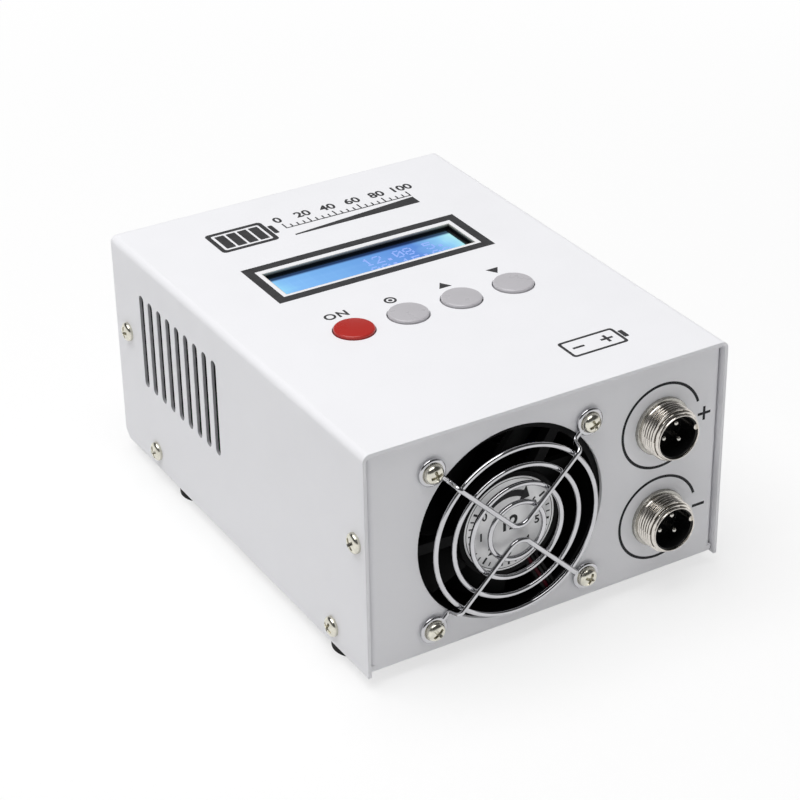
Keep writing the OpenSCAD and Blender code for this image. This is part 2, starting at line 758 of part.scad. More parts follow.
// A round lead along a smooth curve through the points of p
module lead(p, r, steps = 4) {
    sides = 8;
    rings = (len(p) - 1) * steps;
    points = [for (i = [0:rings]) let (s = i / steps, way = curve_way(p, s),
        u = unit(cross(way, [1, 0, 0])), v = cross(way, u))
        for (k = [0:sides - 1]) let (a = k * 360 / sides) curve(p, s) + r * (cos(a) * u + sin(a) * v)];
    walls = [for (i = [0:rings - 1], k = [0:sides - 1]) let (m = (k + 1) % sides)
        [i * sides + k, i * sides + m, (i + 1) * sides + m, (i + 1) * sides + k]];
    start = [[for (k = [sides - 1:-1:0]) k]];
    end = [[for (k = [0:sides - 1]) rings * sides + k]];
    polyhedron(points, concat(walls, start, end));
}

module vent_slot() {
    square([vent_w, vent_l - vent_w], center = true);
    for (z = [-1, 1]) translate([0, z * (vent_l - vent_w) / 2]) circle(d = vent_w);
}

module cover() {
    color("white") in_case() difference() {
        along_y(0, case_d) bent_channel(case_w, case_h, cover_t, cover_bend_r);
        block(top_offset_x, window_y, ceiling_z - cut, window_w, window_d, cover_t + 2 * cut);
        for (x = key_xs) translate([x, key_y, ceiling_z - cut])
            cylinder(r = key_cap_r + key_gap, h = cover_t + 2 * cut);
        along_x(case_w + 2 * cut) for (i = [0:vent_count - 1])
            translate([case_d - vent_rear - i * vent_pitch, vent_z]) vent_slot();
        along_x(case_w + 2 * cut) for (s = cover_screw_yz) translate(s) circle(r = m3_r + screw_hole_gap);
        along_x(case_w + 2 * cut) polygon([[case_d - corner_chamfer, 0], [case_d - corner_chamfer - cut, -cut],
            [case_d + cut, -cut], [case_d + cut, corner_chamfer + cut]]);
    }
}

module chassis() {
    color("white") in_case() difference() {
        union() {
            along_x(chassis_w) translate([case_d / 2, panel_top]) mirror([0, 1])
                bent_channel(case_d - 2 * panel_inset, panel_top, chassis_t, chassis_bend_r);
            at_both_ends() on_both_sides() panel_corner()
                bent_angle(panel_flange / 2, panel_flange, chassis_t, chassis_bend_r);
            on_both_sides() floor_corner()
                bent_angle(floor_flange / 2, floor_flange, chassis_t, chassis_bend_r);
        }
        at_both_ends() on_both_sides() panel_corner() outside_bend(chassis_bend_r);
        on_both_sides() floor_corner() outside_bend(chassis_bend_r);
        along_x(chassis_w + 2 * cut) for (s = cover_screw_yz) translate(s) circle(r = m3_r + seat_gap);
        along_y(panel_inset - cut, chassis_t + 2 * cut) front_cutouts();
        along_y(rear_inner_y - cut, chassis_t + 2 * cut) rear_cutouts();
        for (f = foot_xy) translate([f[0], f[1], -cut]) cylinder(r = m3_r + seat_gap, h = chassis_t + 2 * cut);
    }
}

module panel_corner() {
    translate([-chassis_w / 2, panel_inset, panel_flange_z]) linear_extrude(panel_flange_h) children();
}

module floor_corner() {
    translate([-chassis_w / 2, 0, 0]) along_y(floor_flange_y, floor_flange_l) children();
}

module front_cutouts() {
    translate(fan_hole_xy) circle(r = fan_bore_r + fan_hole_gap, $fn = 128);
    translate([fan_x, fan_z]) at_fan_holes() circle(r = fan_hole_r);
    for (z = [positive_z, negative_z]) translate([socket_x, z]) circle(r = socket_r + socket_hole_gap);
}

module rear_cutouts() {
    translate([jack_x, jack_z]) circle(r = jack_r + seat_gap);
    translate([port_x - port_w / 2, board_top] - [1, 1] * 4 * seat_gap)
        square([port_w, port_h] + [1, 1] * 8 * seat_gap);
}

module at_fan_holes() {
    for (x = [-1, 1], y = [-1, 1]) translate([x, y] * fan_pitch / 2) children();
}

module cover_screws() {
    color("silver") in_case() on_both_sides() for (s = cover_screw_yz)
        translate([case_w / 2, s[0], s[1]]) rotate([0, 90, 0])
            pan_screw(m3_r, cover_screw_l, m3_head_r, m3_head_h);
}

module rubber_feet() {
    edge = 0.7;
    color("#1b1b1b") in_case() for (f = foot_xy) translate([f[0], f[1], -foot_h]) difference() {
        rotate_extrude() polygon([[0, 0], [foot_low_r - edge, 0], [foot_low_r, edge], [foot_top_r, foot_h], [0, foot_h]]);
        translate([0, 0, -cut]) cylinder(r = m3_head_r + 2 * seat_gap, h = foot_recess + cut);
        cylinder(r = m3_r + seat_gap, h = foot_h + cut);
    }
}

module foot_screws() {
    color("silver") in_case() for (f = foot_xy) translate([f[0], f[1], foot_recess - foot_h]) rotate([180, 0, 0])
        pan_screw(m3_r, foot_h - foot_recess + chassis_t + m3_nut_h + m3_end, m3_head_r, m3_head_h);
}

module foot_nuts() {
    color("silver") in_case() for (f = foot_xy) translate([f[0], f[1], chassis_t])
        hex_ring(m3_nut_af, m3_nut_h, m3_r + seat_gap);
}

module fan_frame() {
    color("#202022") in_fan() {
        difference() {
            union() {
                for (z = [0, fan_depth - fan_flange_t]) translate([0, 0, z])
                    linear_extrude(fan_flange_t) rounded_square(fan_size, fan_corner_r);
                intersection() {
                    cylinder(r = fan_bore_r + fan_wall, h = fan_depth, $fn = 128);
                    linear_extrude(fan_depth) square(fan_size, center = true);
                }
            }
            translate([0, 0, -cut]) cylinder(r = fan_bore_r, h = fan_depth + 2 * cut, $fn = 128);
            translate([0, 0, -cut]) linear_extrude(fan_depth + 2 * cut) at_fan_holes() circle(r = fan_hole_r);
            lead_groove();
        }
    }
}

// The struts that hold the motor in the duct, with the tube for its bearing
module fan_struts() {
    color("#202022") in_fan() {
        difference() {
            union() {
                translate([0, 0, base_z]) cylinder(r = hub_r, h = strut_d + base_rise);
                for (i = [1:strut_count]) rotate([0, 0, strut_turn + i * 360 / strut_count])
                    strut(i == strut_count ? groove_w + 2 * groove_wall : strut_w);
            }
            translate([0, 0, label_low]) cylinder(r = fan_label_r + seat_gap, h = fan_label_t + cut);
            lead_groove();
        }
        difference() {
            translate([0, 0, tube_low]) cylinder(r = tube_r, h = base_z - tube_low + seat_gap);
            translate([0, 0, tube_low - cut]) cylinder(r = bearing_r + seat_gap, h = base_z - tube_low + cut);
        }
    }
}

module strut(w) {
    intersection() {
        translate([hub_r / 2, -w / 2, base_z]) cube([fan_bore_r, w, strut_d]);
        cylinder(r = fan_bore_r - seat_gap, h = fan_depth, $fn = 128);
    }
}

// The channel that leads the wires from the stator to the frame's edge
module lead_groove() {
    rotate([0, 0, strut_turn]) translate([groove_start - fan_lead_d, -groove_w / 2, fan_depth - groove_d])
        cube([fan_size, groove_w, groove_d + base_rise + cut]);
}

module fan_bearing() {
    color("#b08d57") in_fan() translate([0, 0, tube_low]) difference() {
        cylinder(r = bearing_r, h = base_z - tube_low - seat_gap);
        translate([0, 0, -cut]) cylinder(r = shaft_r + bearing_gap, h = fan_depth);
    }
}

module fan_stator() {
    color("#b87333") in_fan() translate([0, 0, stator_low]) difference() {
        cylinder(r = stator_r, h = stator_h);
        translate([0, 0, -cut]) cylinder(r = tube_r + seat_gap, h = stator_h + 2 * cut);
        for (i = [0:stator_poles - 1]) rotate([0, 0, i * 360 / stator_poles])
            translate([stator_window_x, 0, -cut]) {
                cylinder(r = stator_window_r, h = stator_h + 2 * cut);
                translate([0, -stator_slot_w / 2, 0]) cube([stator_r, stator_slot_w, stator_h + 2 * cut]);
            }
    }
}

module fan_label() {
    color("silver") in_fan() translate([0, 0, label_low]) cylinder(r = fan_label_r, h = fan_label_t);
}

module fan_rotor() {
    color("#2a2a2d") in_fan() {
        difference() {
            translate([0, 0, rotor_rear]) cylinder(r = hub_r, h = rotor_h);
            translate([0, 0, rotor_rear + hub_t]) cylinder(r = hub_r - hub_t, h = rotor_h);
            shaft_socket();
        }
        difference() {
            translate([0, 0, rotor_rear + hub_t / 2]) cylinder(r = boss_r, h = boss_top - rotor_rear - hub_t / 2);
            shaft_socket();
        }
        for (i = [0:blade_count - 1]) rotate([0, 0, i * 360 / blade_count]) fan_blade();
    }
}

module shaft_socket() {
    translate([0, 0, rotor_rear + hub_t / 2]) cylinder(r = shaft_r + seat_gap, h = fan_depth);
}

// A cambered blade, cut round by the hub and by the duct
module fan_blade() {
    intersection() {
        translate([0, 0, rotor_mid]) rotate([90, 0, 90]) linear_extrude(fan_bore_r)
            rotate(blade_pitch) blade_section();
        translate([0, 0, rotor_rear]) difference() {
            cylinder(r = tip_r, h = rotor_h, $fn = 128);
            translate([0, 0, -cut]) cylinder(r = hub_r - hub_t / 2, h = rotor_h + 2 * cut);
        }
    }
}

// Arched section of a blade
module blade_section() {
    translate([0, blade_rise / 2 - blade_camber_r]) intersection() {
        difference() {
            circle(r = blade_camber_r + blade_t / 2, $fn = 180);
            circle(r = blade_camber_r - blade_t / 2, $fn = 180);
        }
        translate([-blade_chord / 2, 0]) square([blade_chord, 2 * blade_camber_r]);
    }
}

module fan_magnet() {
    color("#3a3a3a") in_fan() translate([0, 0, stator_low - 1]) difference() {
        cylinder(r = magnet_r, h = stator_h + 2);
        translate([0, 0, -cut]) cylinder(r = magnet_r - magnet_t, h = stator_h + 2 + 2 * cut);
    }
}

module fan_shaft() {
    low = rotor_rear + hub_t / 2 + seat_gap;
    color("silver") in_fan() translate([0, 0, low]) cylinder(r = shaft_r, h = base_z - low - 1);
}

module fan_plug() {
    color("white") in_case() block(plug_x, plug_y + plug_d / 2, board_top, plug_w, plug_d, plug_h);
}

// A ring of the guard's wire in the plane of the panel
module wire_ring(r) {
    rotate_extrude($fn = 128) translate([r, 0]) circle(r = wire_r, $fn = 24);
}

// An arc of the guard's wire
module wire_arc(r, from, sweep) {
    rotate([0, 0, from]) rotate_extrude(angle = sweep) translate([r, 0]) circle(r = wire_r, $fn = 24);
}

// A straight length of the guard's wire, lapped into the bends at both ends
module wire_line(l) {
    translate([-wire_lap, 0, 0]) rotate([0, 90, 0])
        cylinder(r = wire_r - wire_ease, h = l + 2 * wire_lap, $fn = 24);
}

// One arm of a bar along X, from the apex over the rings and back down to its loop
module guard_arm() {
    slope_x = bar_end + elbow_run;
    foot_x = loop_start - guard_foot_l;
    translate([guard_apex_r, 0, guard_bar_h]) wire_line(bar_end - guard_apex_r);
    translate([bar_end, 0, guard_bar_h - guard_elbow_r]) rotate([90, 0, 0])
        wire_arc(guard_elbow_r, 90 - guard_slope, guard_slope);
    translate([slope_x, 0, guard_bar_h - elbow_fall]) rotate([0, guard_slope, 0]) wire_line(slope_l);
    translate([foot_x, 0, wire_r + guard_elbow_r]) rotate([90, 0, 0])
        wire_arc(guard_elbow_r, 270 - guard_slope, guard_slope);
    translate([foot_x, 0, wire_r]) wire_line(guard_foot_l + wire_r / 2);
}

module fan_guard() {
    color("silver") on_front(fan_x, fan_z) {
        for (i = [0:guard_rings - 1]) translate([0, 0, guard_ring_h]) wire_ring(guard_outer_r - i * guard_pitch);
        for (up = [0, 1]) mirror([0, up, 0]) translate([0, guard_apex_z, 0]) {
            translate([0, guard_apex_r * sqrt(2), guard_bar_h]) wire_arc(guard_apex_r, 225, 90);
            for (left = [0, 1]) mirror([left, 0, 0]) rotate([0, 0, 45]) guard_arm();
        }
        translate([0, 0, wire_r]) at_fan_holes() wire_ring(guard_loop_r);
    }
}

module fan_screws() {
    color("silver") on_front(fan_x, fan_z) at_fan_holes() translate([0, 0, fan_head_z])
        pan_screw(m3_r, fan_head_z + chassis_t + fan_depth + m3_nut_h + screw_end, fan_head_r, fan_head_h);
}

module fan_nuts() {
    color("silver") in_fan() at_fan_holes() translate([0, 0, -m3_nut_h]) hex_ring(m3_nut_af, m3_nut_h, m3_r + seat_gap);
}

module socket_shell(z) {
    color("silver") on_front(socket_x, z) {
        difference() {
            union() {
                translate([0, 0, -socket_in]) cylinder(r = socket_r, h = socket_in + socket_out - socket_chamfer);
                translate([0, 0, socket_out - socket_chamfer])
                    cylinder(r1 = socket_r, r2 = socket_r - socket_chamfer, h = socket_chamfer);
                cylinder(r = socket_flange_r, h = socket_flange_t);
            }
            translate([0, 0, -socket_in - cut]) cylinder(r = socket_bore_r, h = socket_in + socket_out + 2 * cut);
        }
        intersection() {
            rotate([0, 0, socket_turn]) translate([socket_bore_r, 0, insert_h])
                cylinder(r = key_r, h = socket_out - insert_h - sleeve_recess);
            translate([0, 0, insert_h]) cylinder(r = socket_bore_r + seat_gap, h = socket_out);
        }
    }
}

module socket_insert(z) {
    color("#151515") on_front(socket_x, z) difference() {
        union() {
            translate([0, 0, insert_low]) cylinder(r = insert_r, h = insert_h - insert_low);
            difference() {
                cylinder(r = insert_r, h = socket_out - sleeve_recess);
                cylinder(r = sleeve_r, h = socket_out);
            }
        }
        for (a = pin_angles) rotate([0, 0, a]) translate([pin_circle_r, 0, insert_low - cut])
            cylinder(r = pin_r + seat_gap, h = socket_out - insert_low);
        rotate([0, 0, socket_turn]) translate([socket_bore_r, 0, insert_h])
            cylinder(r = key_r + 2 * seat_gap, h = socket_out);
    }
}

module socket_pins(z) {
    tip = socket_out - pin_recess - pin_r;
    color("silver") on_front(socket_x, z) for (a = pin_angles) rotate([0, 0, a]) translate([pin_circle_r, 0, 0]) {
        translate([0, 0, insert_low]) cylinder(r = pin_r, h = tip - insert_low);
        translate([0, 0, tip]) rotate_extrude() intersection() {
            circle(r = pin_r);
            square(pin_r);
        }
        translate([0, 0, insert_low - cup_l]) cylinder(r = cup_r, h = cup_l);
    }
}

module socket_nut(z) {
    color("silver") on_front(socket_x, z) translate([0, 0, -chassis_t - socket_nut_h])
        hex_ring(socket_nut_af, socket_nut_h, socket_r + seat_gap);
}

module red_leads() {
    color("#b01818") in_case() {
        lead(battery_route(positive_z, terminal_xs[0]), battery_lead_d / 2);
        lead(fan_route(0), fan_lead_d / 2);
        lead(jack_route(jack_x - 2), jack_lead_d / 2);
    }
}

module black_leads() {
    color("#202020") in_case() {
        lead(battery_route(negative_z, terminal_xs[1]), battery_lead_d / 2);
        lead(fan_route(1), fan_lead_d / 2);
        lead(jack_route(jack_x + 2), jack_lead_d / 2);
    }
}

module battery_terminals() {
    color("#c9a64a") in_case() for (x = terminal_xs)
        block(x, terminal_y, board_top, terminal_w, terminal_w, terminal_h);
}

module display_bezel() {
    color("#111111") in_case() difference() {
        block(display_x, display_y, bezel_top - bezel_h, bezel_w, bezel_d, bezel_h);
        block(display_x, display_y, bezel_top - bezel_h - cut,
            bezel_w - 2 * bezel_t, bezel_d - 2 * bezel_t, bezel_h - bezel_t + cut);
        block(display_x, display_y, bezel_top - bezel_h, view_w, view_d, bezel_h + cut);
    }
}

module display_glass() {
    color("#6ea8f5") in_case() block(display_x, display_y, glass_top - glass_t, glass_w, glass_d, glass_t);
}

module display_backlight() {
    low = display_board_z + pcb_t;
    color("#e8f4ff") in_case() block(display_x, display_y, low, glass_w, glass_d, glass_top - glass_t - low);
}

module display_board() {
    color("#1c6b3a") in_case()
        block(display_x, display_y, display_board_z, display_board_w, display_board_d, pcb_t);
}

module display_header() {
    color("#151515") in_case() block(display_x, display_y + display_board_d / 2 - header_d,
        panel_board_z + pcb_t, header_w, header_d, header_h);
}

module panel_board() {
    color("#1c6b3a") in_case() difference() {
        block(top_offset_x, panel_board_y + panel_board_d / 2, panel_board_z, panel_board_w, panel_board_d, pcb_t);
        for (s = stud_xy) translate([s[0], s[1], panel_board_z - cut]) cylinder(r = stud_r + seat_gap, h = pcb_t + 2 * cut);
    }
}

module panel_studs() {
    shoulder = panel_board_z + pcb_t;
    color("silver") in_case() for (s = stud_xy) translate([s[0], s[1], 0]) {
        translate([0, 0, shoulder]) cylinder(r = stud_shoulder_r, h = ceiling_z - shoulder);
        translate([0, 0, panel_board_z - stud_nut_h - stud_end])
            cylinder(r = stud_r, h = pcb_t + stud_nut_h + stud_end + cut);
    }
}

module stud_nuts() {
    color("silver") in_case() for (s = stud_xy) translate([s[0], s[1], panel_board_z - stud_nut_h])
        hex_ring(stud_nut_af, stud_nut_h, stud_r + seat_gap);
}

module key_switches() {
    hole_w = plunger_w + 2 * plunger_play;
    hole_low = switch_top - plunger_sink - key_travel - plunger_play;
    color("#151515") in_case() for (x = key_xs) difference() {
        block(x, key_y, switch_low, switch_w, switch_w, switch_h);
        block(x, key_y, hole_low, hole_w, hole_w, switch_h);
    }
}

// A key cap over the plunger of its switch, drawn from the collar's underside up
module key_cap(i) {
    in_case() translate([key_xs[i], key_y, collar_low]) difference() {
        union() {
            cylinder(r = key_collar_r, h = key_collar_t);
            rotate_extrude() cap_outline();
        }
        difference() {
            translate([0, 0, -cut]) cylinder(r = key_cap_r - cap_wall, h = cap_h - cap_top_t + cut);
            cylinder(r = cap_boss_r, h = cap_h);
        }
        block(0, 0, -cut, plunger_w + 2 * seat_gap, plunger_w + 2 * seat_gap, plunger_grip + seat_gap + cut);
    }
}

// Half section of a cap with a round edge and a low crown
module cap_outline() {
    flat_r = key_cap_r - key_round;
    edge_h = cap_h - key_crown;
    crown_r = (pow(flat_r, 2) + pow(key_crown, 2)) / (2 * key_crown);
    square([key_cap_r, edge_h - key_round]);
    square([flat_r, edge_h]);
    translate([flat_r, edge_h - key_round]) circle(r = key_round);
    intersection() {
        translate([0, edge_h - cut]) square([flat_r, cap_h]);
        translate([0, cap_h - crown_r]) circle(r = crown_r, $fn = 360);
    }
}

module plunger(i) {
    low = switch_top - plunger_sink;
    in_case() block(key_xs[i], key_y, low, plunger_w, plunger_w, collar_low + plunger_grip - low);
}

module main_board() {
    color("#1c6b3a") in_case() difference() {
        block(0, board_y + board_d / 2, board_z, board_w, board_d, pcb_t);
        for (h = board_hole_xy) translate([h[0], h[1], board_z - cut]) cylinder(r = m3_r + seat_gap, h = pcb_t + 2 * cut);
    }
}

module board_standoffs() {
    color("#c9a64a") in_case() for (h = board_hole_xy) translate([h[0], h[1], chassis_t])
        hex_ring(standoff_af, standoff_h, m3_r + seat_gap);
}

// The screws of the main board and of the transistors, which are all alike
module inner_screws() {
    color("silver") in_case() {
        for (h = board_hole_xy) translate([h[0], h[1], board_top]) pan_screw(m3_r, inner_screw_l, m3_head_r, m3_head_h);
        for (y = transistor_ys) translate([sink_right + transistor_t, y, transistor_hole_z]) rotate([0, 90, 0])
            pan_screw(m3_r, inner_screw_l, m3_head_r, m3_head_h);
    }
}

module heat_sink() {
    color("#b9bcc0") in_case() difference() {
        along_y(sink_y, sink_l) {
            translate([sink_right - sink_base_t, board_top]) square([sink_base_t, sink_h]);
            for (i = [0:fin_count - 1]) translate([sink_right - sink_w, board_top + i * fin_pitch])
                square([sink_w - sink_base_t / 2, fin_t]);
        }
        for (y = transistor_ys) translate([sink_right - sink_base_t + cut, y, transistor_hole_z])
            rotate([0, 90, 0]) cylinder(r = m3_r + seat_gap, h = sink_base_t);
    }
}

module power_transistors() {
    leg_w = 1.2;
    leg_pitch = 5.4;
    color("#1a1a1a") in_case() for (y = transistor_ys) difference() {
        translate([sink_right, y, 0]) {
            block(transistor_t / 2, 0, transistor_low, transistor_t, transistor_w, transistor_h);
            for (i = [-1:1]) block(transistor_t / 2, i * leg_pitch, board_top, leg_w / 2, leg_w, transistor_up + cut);
        }
        translate([sink_right - cut, y, transistor_hole_z]) rotate([0, 90, 0])
            cylinder(r = m3_r + seat_gap, h = transistor_t + 2 * cut);
    }
}

module storage_capacitors() {
    bevel = 0.8;
    color("#26282c") in_case() for (i = [0:capacitor_count - 1])
        translate([capacitor_x, capacitor_y + i * (2 * capacitor_r + capacitor_gap), board_top]) rotate_extrude()
            polygon([[0, 0], [capacitor_r, 0], [capacitor_r, capacitor_h - bevel],
                [capacitor_r - bevel, capacitor_h], [0, capacitor_h]]);
}

module in_choke() {
    in_case() translate([socket_x, choke_y, board_top + choke_wire_d + 2 * seat_gap]) children();
}

module choke_core() {
    color("#c8a415") in_choke() difference() {
        cylinder(r = choke_r, h = choke_h);
        translate([0, 0, -cut]) cylinder(r = choke_bore_r, h = choke_h + 2 * cut);
    }
}

// Square turns round the ring core, all of one enamelled wire
module choke_winding() {
    gap = seat_gap;
    color("#b35a1f") in_choke() for (i = [0:choke_turns - 1]) rotate([0, 0, (i + 0.5) * 360 / choke_turns])
        translate([choke_bore_r - choke_wire_d - gap, choke_wire_d / 2, -choke_wire_d - gap]) rotate([90, 0, 0])
            linear_extrude(choke_wire_d) difference() {
                square([choke_r - choke_bore_r, choke_h] + [1, 1] * 2 * (choke_wire_d + gap));
                translate([1, 1] * choke_wire_d) square([choke_r - choke_bore_r, choke_h] + [1, 1] * 2 * gap);
            }
}

module relay() {
    color("#1f4f9c") in_case() block(socket_x, relay_y + relay_d / 2, board_top, relay_w, relay_d, relay_h);
}

module controller_chip() {
    leg = 0.4;
    leg_pitch = chip_w / chip_legs;
    color("#1a1a1a") in_case() translate([fan_x, chip_y, board_top]) {
        block(0, 0, leg / 2, chip_w, chip_w, chip_h);
        for (side = [0:90:270], i = [0:chip_legs - 1]) rotate([0, 0, side])
            block(chip_w / 2, (i - (chip_legs - 1) / 2) * leg_pitch, 0, 2, leg, leg);
    }
}

module power_jack() {
    color("#1a1a1a") on_rear(jack_x, jack_z) {
        difference() {
            union() {
                translate([0, 0, -jack_l]) cylinder(r = jack_r, h = jack_l + jack_flange_t / 2);
                cylinder(r = jack_flange_r, h = jack_flange_t);
            }
            translate([0, 0, jack_flange_t - jack_bore_l]) cylinder(r = jack_bore_r, h = jack_bore_l + cut);
        }
        translate([0, 0, jack_flange_t - jack_bore_l - cut]) cylinder(r = jack_pin_r, h = jack_bore_l);
        for (x = [-2, 2]) block(x, 0, -jack_l - jack_tab_l, 1.5, 0.6, jack_tab_l + cut);
    }
}

module power_jack_nut() {
    color("silver") on_rear(jack_x, jack_z) translate([0, 0, -chassis_t - m3_nut_h])
        hex_ring(jack_nut_af, m3_nut_h, jack_r + seat_gap);
}

module data_port() {
    wall = 0.5;
    color("silver") in_case() translate([port_x, case_d - panel_inset - port_l, board_top]) {
        difference() {
            block(0, port_l / 2, 0, port_w, port_l, port_h);
            translate([wall - port_w / 2, wall, wall]) cube([port_w - 2 * wall, port_l, port_h - 2 * wall]);
        }
        block(0, port_l / 2 - wall, port_h / 2 - wall / 2, port_w - 4 * wall, port_l - 3 * wall, wall * 1.4);
    }
}

// A flat cable that hangs in a shallow bow between a plug on each board
module panel_ribbon() {
    low = board_top + ribbon_plug;
    high = panel_board_z - ribbon_plug;
    bow = [for (i = [0:ribbon_steps]) [ribbon_bow * sin(i * ribbon_turn), low + (high - low) * i / ribbon_steps]];
    color("#9aa0a8") in_case() {
        for (z = [board_top, high]) block(socket_x, ribbon_y, z, ribbon_w + 2 * ribbon_frame, ribbon_plug, ribbon_plug);
        translate([socket_x - ribbon_w / 2, ribbon_y, 0]) rotate([90, 0, 90]) linear_extrude(ribbon_w)
            polygon(concat([for (b = bow) b - [ribbon_t / 2, 0]],
                [for (i = [ribbon_steps:-1:0]) bow[i] + [ribbon_t / 2, 0]]));
    }
}

module positive_socket_shell() {
    socket_shell(positive_z);
}

module positive_socket_insert() {
    socket_insert(positive_z);
}

module positive_socket_pins() {
    socket_pins(positive_z);
}

module positive_socket_nut() {
    socket_nut(positive_z);
}

module negative_socket_shell() {
    socket_shell(negative_z);
}

module negative_socket_insert() {
    socket_insert(negative_z);
}

module negative_socket_pins() {
    socket_pins(negative_z);
}

module negative_socket_nut() {
    socket_nut(negative_z);
}

module on_button() {
    color("#b82f2d") key_cap(0);
}

module set_button() {
    color("#bebcc0") key_cap(1);
}

module up_button() {
    color("#bebcc0") key_cap(2);
}

module down_button() {
    color("#bebcc0") key_cap(3);
}

module on_plunger() {
    color("#3a2a20") plunger(0);
}

module set_plunger() {
    color("#3a2a20") plunger(1);
}

module up_plunger() {
    color("#3a2a20") plunger(2);
}

module down_plunger() {
    color("#3a2a20") plunger(3);
}

chassis();
cover();
cover_screws();
rubber_feet();
foot_screws();
foot_nuts();
fan_frame();
fan_struts();
fan_bearing();
fan_stator();
fan_label();
fan_plug();
fan_rotor();
fan_magnet();
fan_shaft();
fan_guard();
fan_screws();
fan_nuts();
positive_socket_shell();
positive_socket_insert();
positive_socket_pins();
positive_socket_nut();
negative_socket_shell();
negative_socket_insert();
negative_socket_pins();
negative_socket_nut();
red_leads();
black_leads();
battery_terminals();
display_bezel();
display_glass();
display_backlight();
display_board();
display_header();
panel_board();
panel_studs();
stud_nuts();
key_switches();
on_button();
set_button();
up_button();
down_button();
on_plunger();
set_plunger();
up_plunger();
down_plunger();
main_board();
board_standoffs();
inner_screws();
heat_sink();
power_transistors();
storage_capacitors();
choke_core();
choke_winding();
relay();
controller_chip();
power_jack();
power_jack_nut();
data_port();
panel_ribbon();
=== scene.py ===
"""Looks of a bench battery capacity tester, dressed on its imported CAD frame.

The object's own sizes are in millimetres, which add_piece turns into metres. Those of the floor,
the light and the camera are in metres.
"""

import math

import bmesh
import bpy
from mathutils import Matrix, Vector


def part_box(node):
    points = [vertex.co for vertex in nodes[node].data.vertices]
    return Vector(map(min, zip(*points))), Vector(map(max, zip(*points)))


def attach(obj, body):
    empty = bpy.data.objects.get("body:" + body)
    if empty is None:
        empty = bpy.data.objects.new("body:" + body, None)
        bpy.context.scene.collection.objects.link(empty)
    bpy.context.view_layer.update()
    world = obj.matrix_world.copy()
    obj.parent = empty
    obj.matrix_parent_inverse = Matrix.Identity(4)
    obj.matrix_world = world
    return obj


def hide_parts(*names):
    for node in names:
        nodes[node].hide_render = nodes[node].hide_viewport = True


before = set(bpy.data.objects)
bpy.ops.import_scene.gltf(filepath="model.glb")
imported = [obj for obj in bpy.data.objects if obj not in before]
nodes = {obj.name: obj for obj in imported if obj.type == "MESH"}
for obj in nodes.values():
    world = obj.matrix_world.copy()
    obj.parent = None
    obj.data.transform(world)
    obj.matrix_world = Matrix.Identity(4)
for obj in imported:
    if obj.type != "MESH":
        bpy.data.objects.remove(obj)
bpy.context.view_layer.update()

MM = 0.001


def span(name):
    """Lowest and highest corner of a CAD node."""
    low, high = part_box(name)
    return Vector(low) / MM, Vector(high) / MM


def middle(name):
    """Middle of a CAD node's box."""
    low, high = span(name)
    return (low + high) / 2


# Places from the frame
COVER_TOP = span("cover")[1].z
SIDE_X = span("cover")[1].x
PANEL_Y = span("chassis")[0].y
REAR_Y = span("chassis")[1].y
FLOOR_Z = span("chassis")[0].z
LABEL_Y = span("fan_label")[0].y
FAN_X = middle("fan_label").x
FAN_Z = middle("fan_label").z
SOCKET_X = middle("positive_socket_shell").x
SOCKET_ZS = {side: middle(side + "_socket_shell").z for side in ("positive", "negative")}
KEY_XS = [middle(key + "_button").x for key in ("on", "set", "up", "down")]
KEY_Y = middle("on_button").y
GLASS_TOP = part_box("display_glass")[1].z / MM

# Places and sizes in the source that the nodes' boxes don't give
SLOTS_Y = (10.0, 62.5)
SLOTS_Z = (29.6, 63.0)
WINDOW = (-31.75, 32.95, 16.85, 32.35)
WINDOW_DEPTH = 2.0
COVER_SCREWS_YZ = ((-68.6, 45.0), (71.6, 45.0), (-54.5, 10.0), (56.2, 10.0))
M3_R = 1.5

# Width of a character's cell on the display
CELL_W = 3.55

# Thickness of every print
PRINT_T = 0.03


# Placing and mesh helpers
def shifted(x, y, z):
    """A move without a turn."""
    return Matrix.Translation(Vector((x, y, z)))


def turned_by(degrees, axis="Z"):
    """A turn round one axis."""
    return Matrix.Rotation(math.radians(degrees), 4, axis)


def on_top(x=0.0, y=0.0, h=0.0):
    """Local XY is the cover's top, local Z points up."""
    return shifted(x, y, COVER_TOP + h)


def on_front(x, z, h=0.0):
    """Local XY is the front panel seen from outside, local Z points out of it."""
    return shifted(x, PANEL_Y - h, z) @ turned_by(90, "X")


def on_label():
    """Local XY is the fan's label seen from outside, local Z points out of it."""
    return shifted(FAN_X, LABEL_Y, FAN_Z) @ turned_by(90, "X")


def add_piece(name, mesh, body, material, place=None, smooth=None):
    """Puts a mesh made in millimetres into the frame, riding on a body."""
    mesh.transform(Matrix.Scale(MM, 4) @ (place or Matrix.Identity(4)))
    obj = bpy.data.objects.new(name, mesh)
    bpy.context.scene.collection.objects.link(obj)
    mesh.materials.clear()
    mesh.materials.append(material)
    for face in mesh.polygons:
        face.use_smooth = smooth is not None
    if smooth is not None:
        mesh.set_sharp_from_angle(angle=math.radians(smooth))
    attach(obj, body)
    return obj


def add_print(name, parts, ink_look, place):
    """A print of flat parts on the case."""
    add_piece(name, joined(parts), "case", ink_look, place)


def mesh_of(bm, name):
    """Ends a bmesh as a mesh."""
    mesh = bpy.data.meshes.new(name)
    bm.to_mesh(mesh)
    bm.free()
    return mesh


def joined(meshes):
    """One mesh of several, each already in place."""
    bm = bmesh.new()
    for mesh in meshes:
        bm.from_mesh(mesh)
        bpy.data.meshes.remove(mesh)
    return mesh_of(bm, "joined")


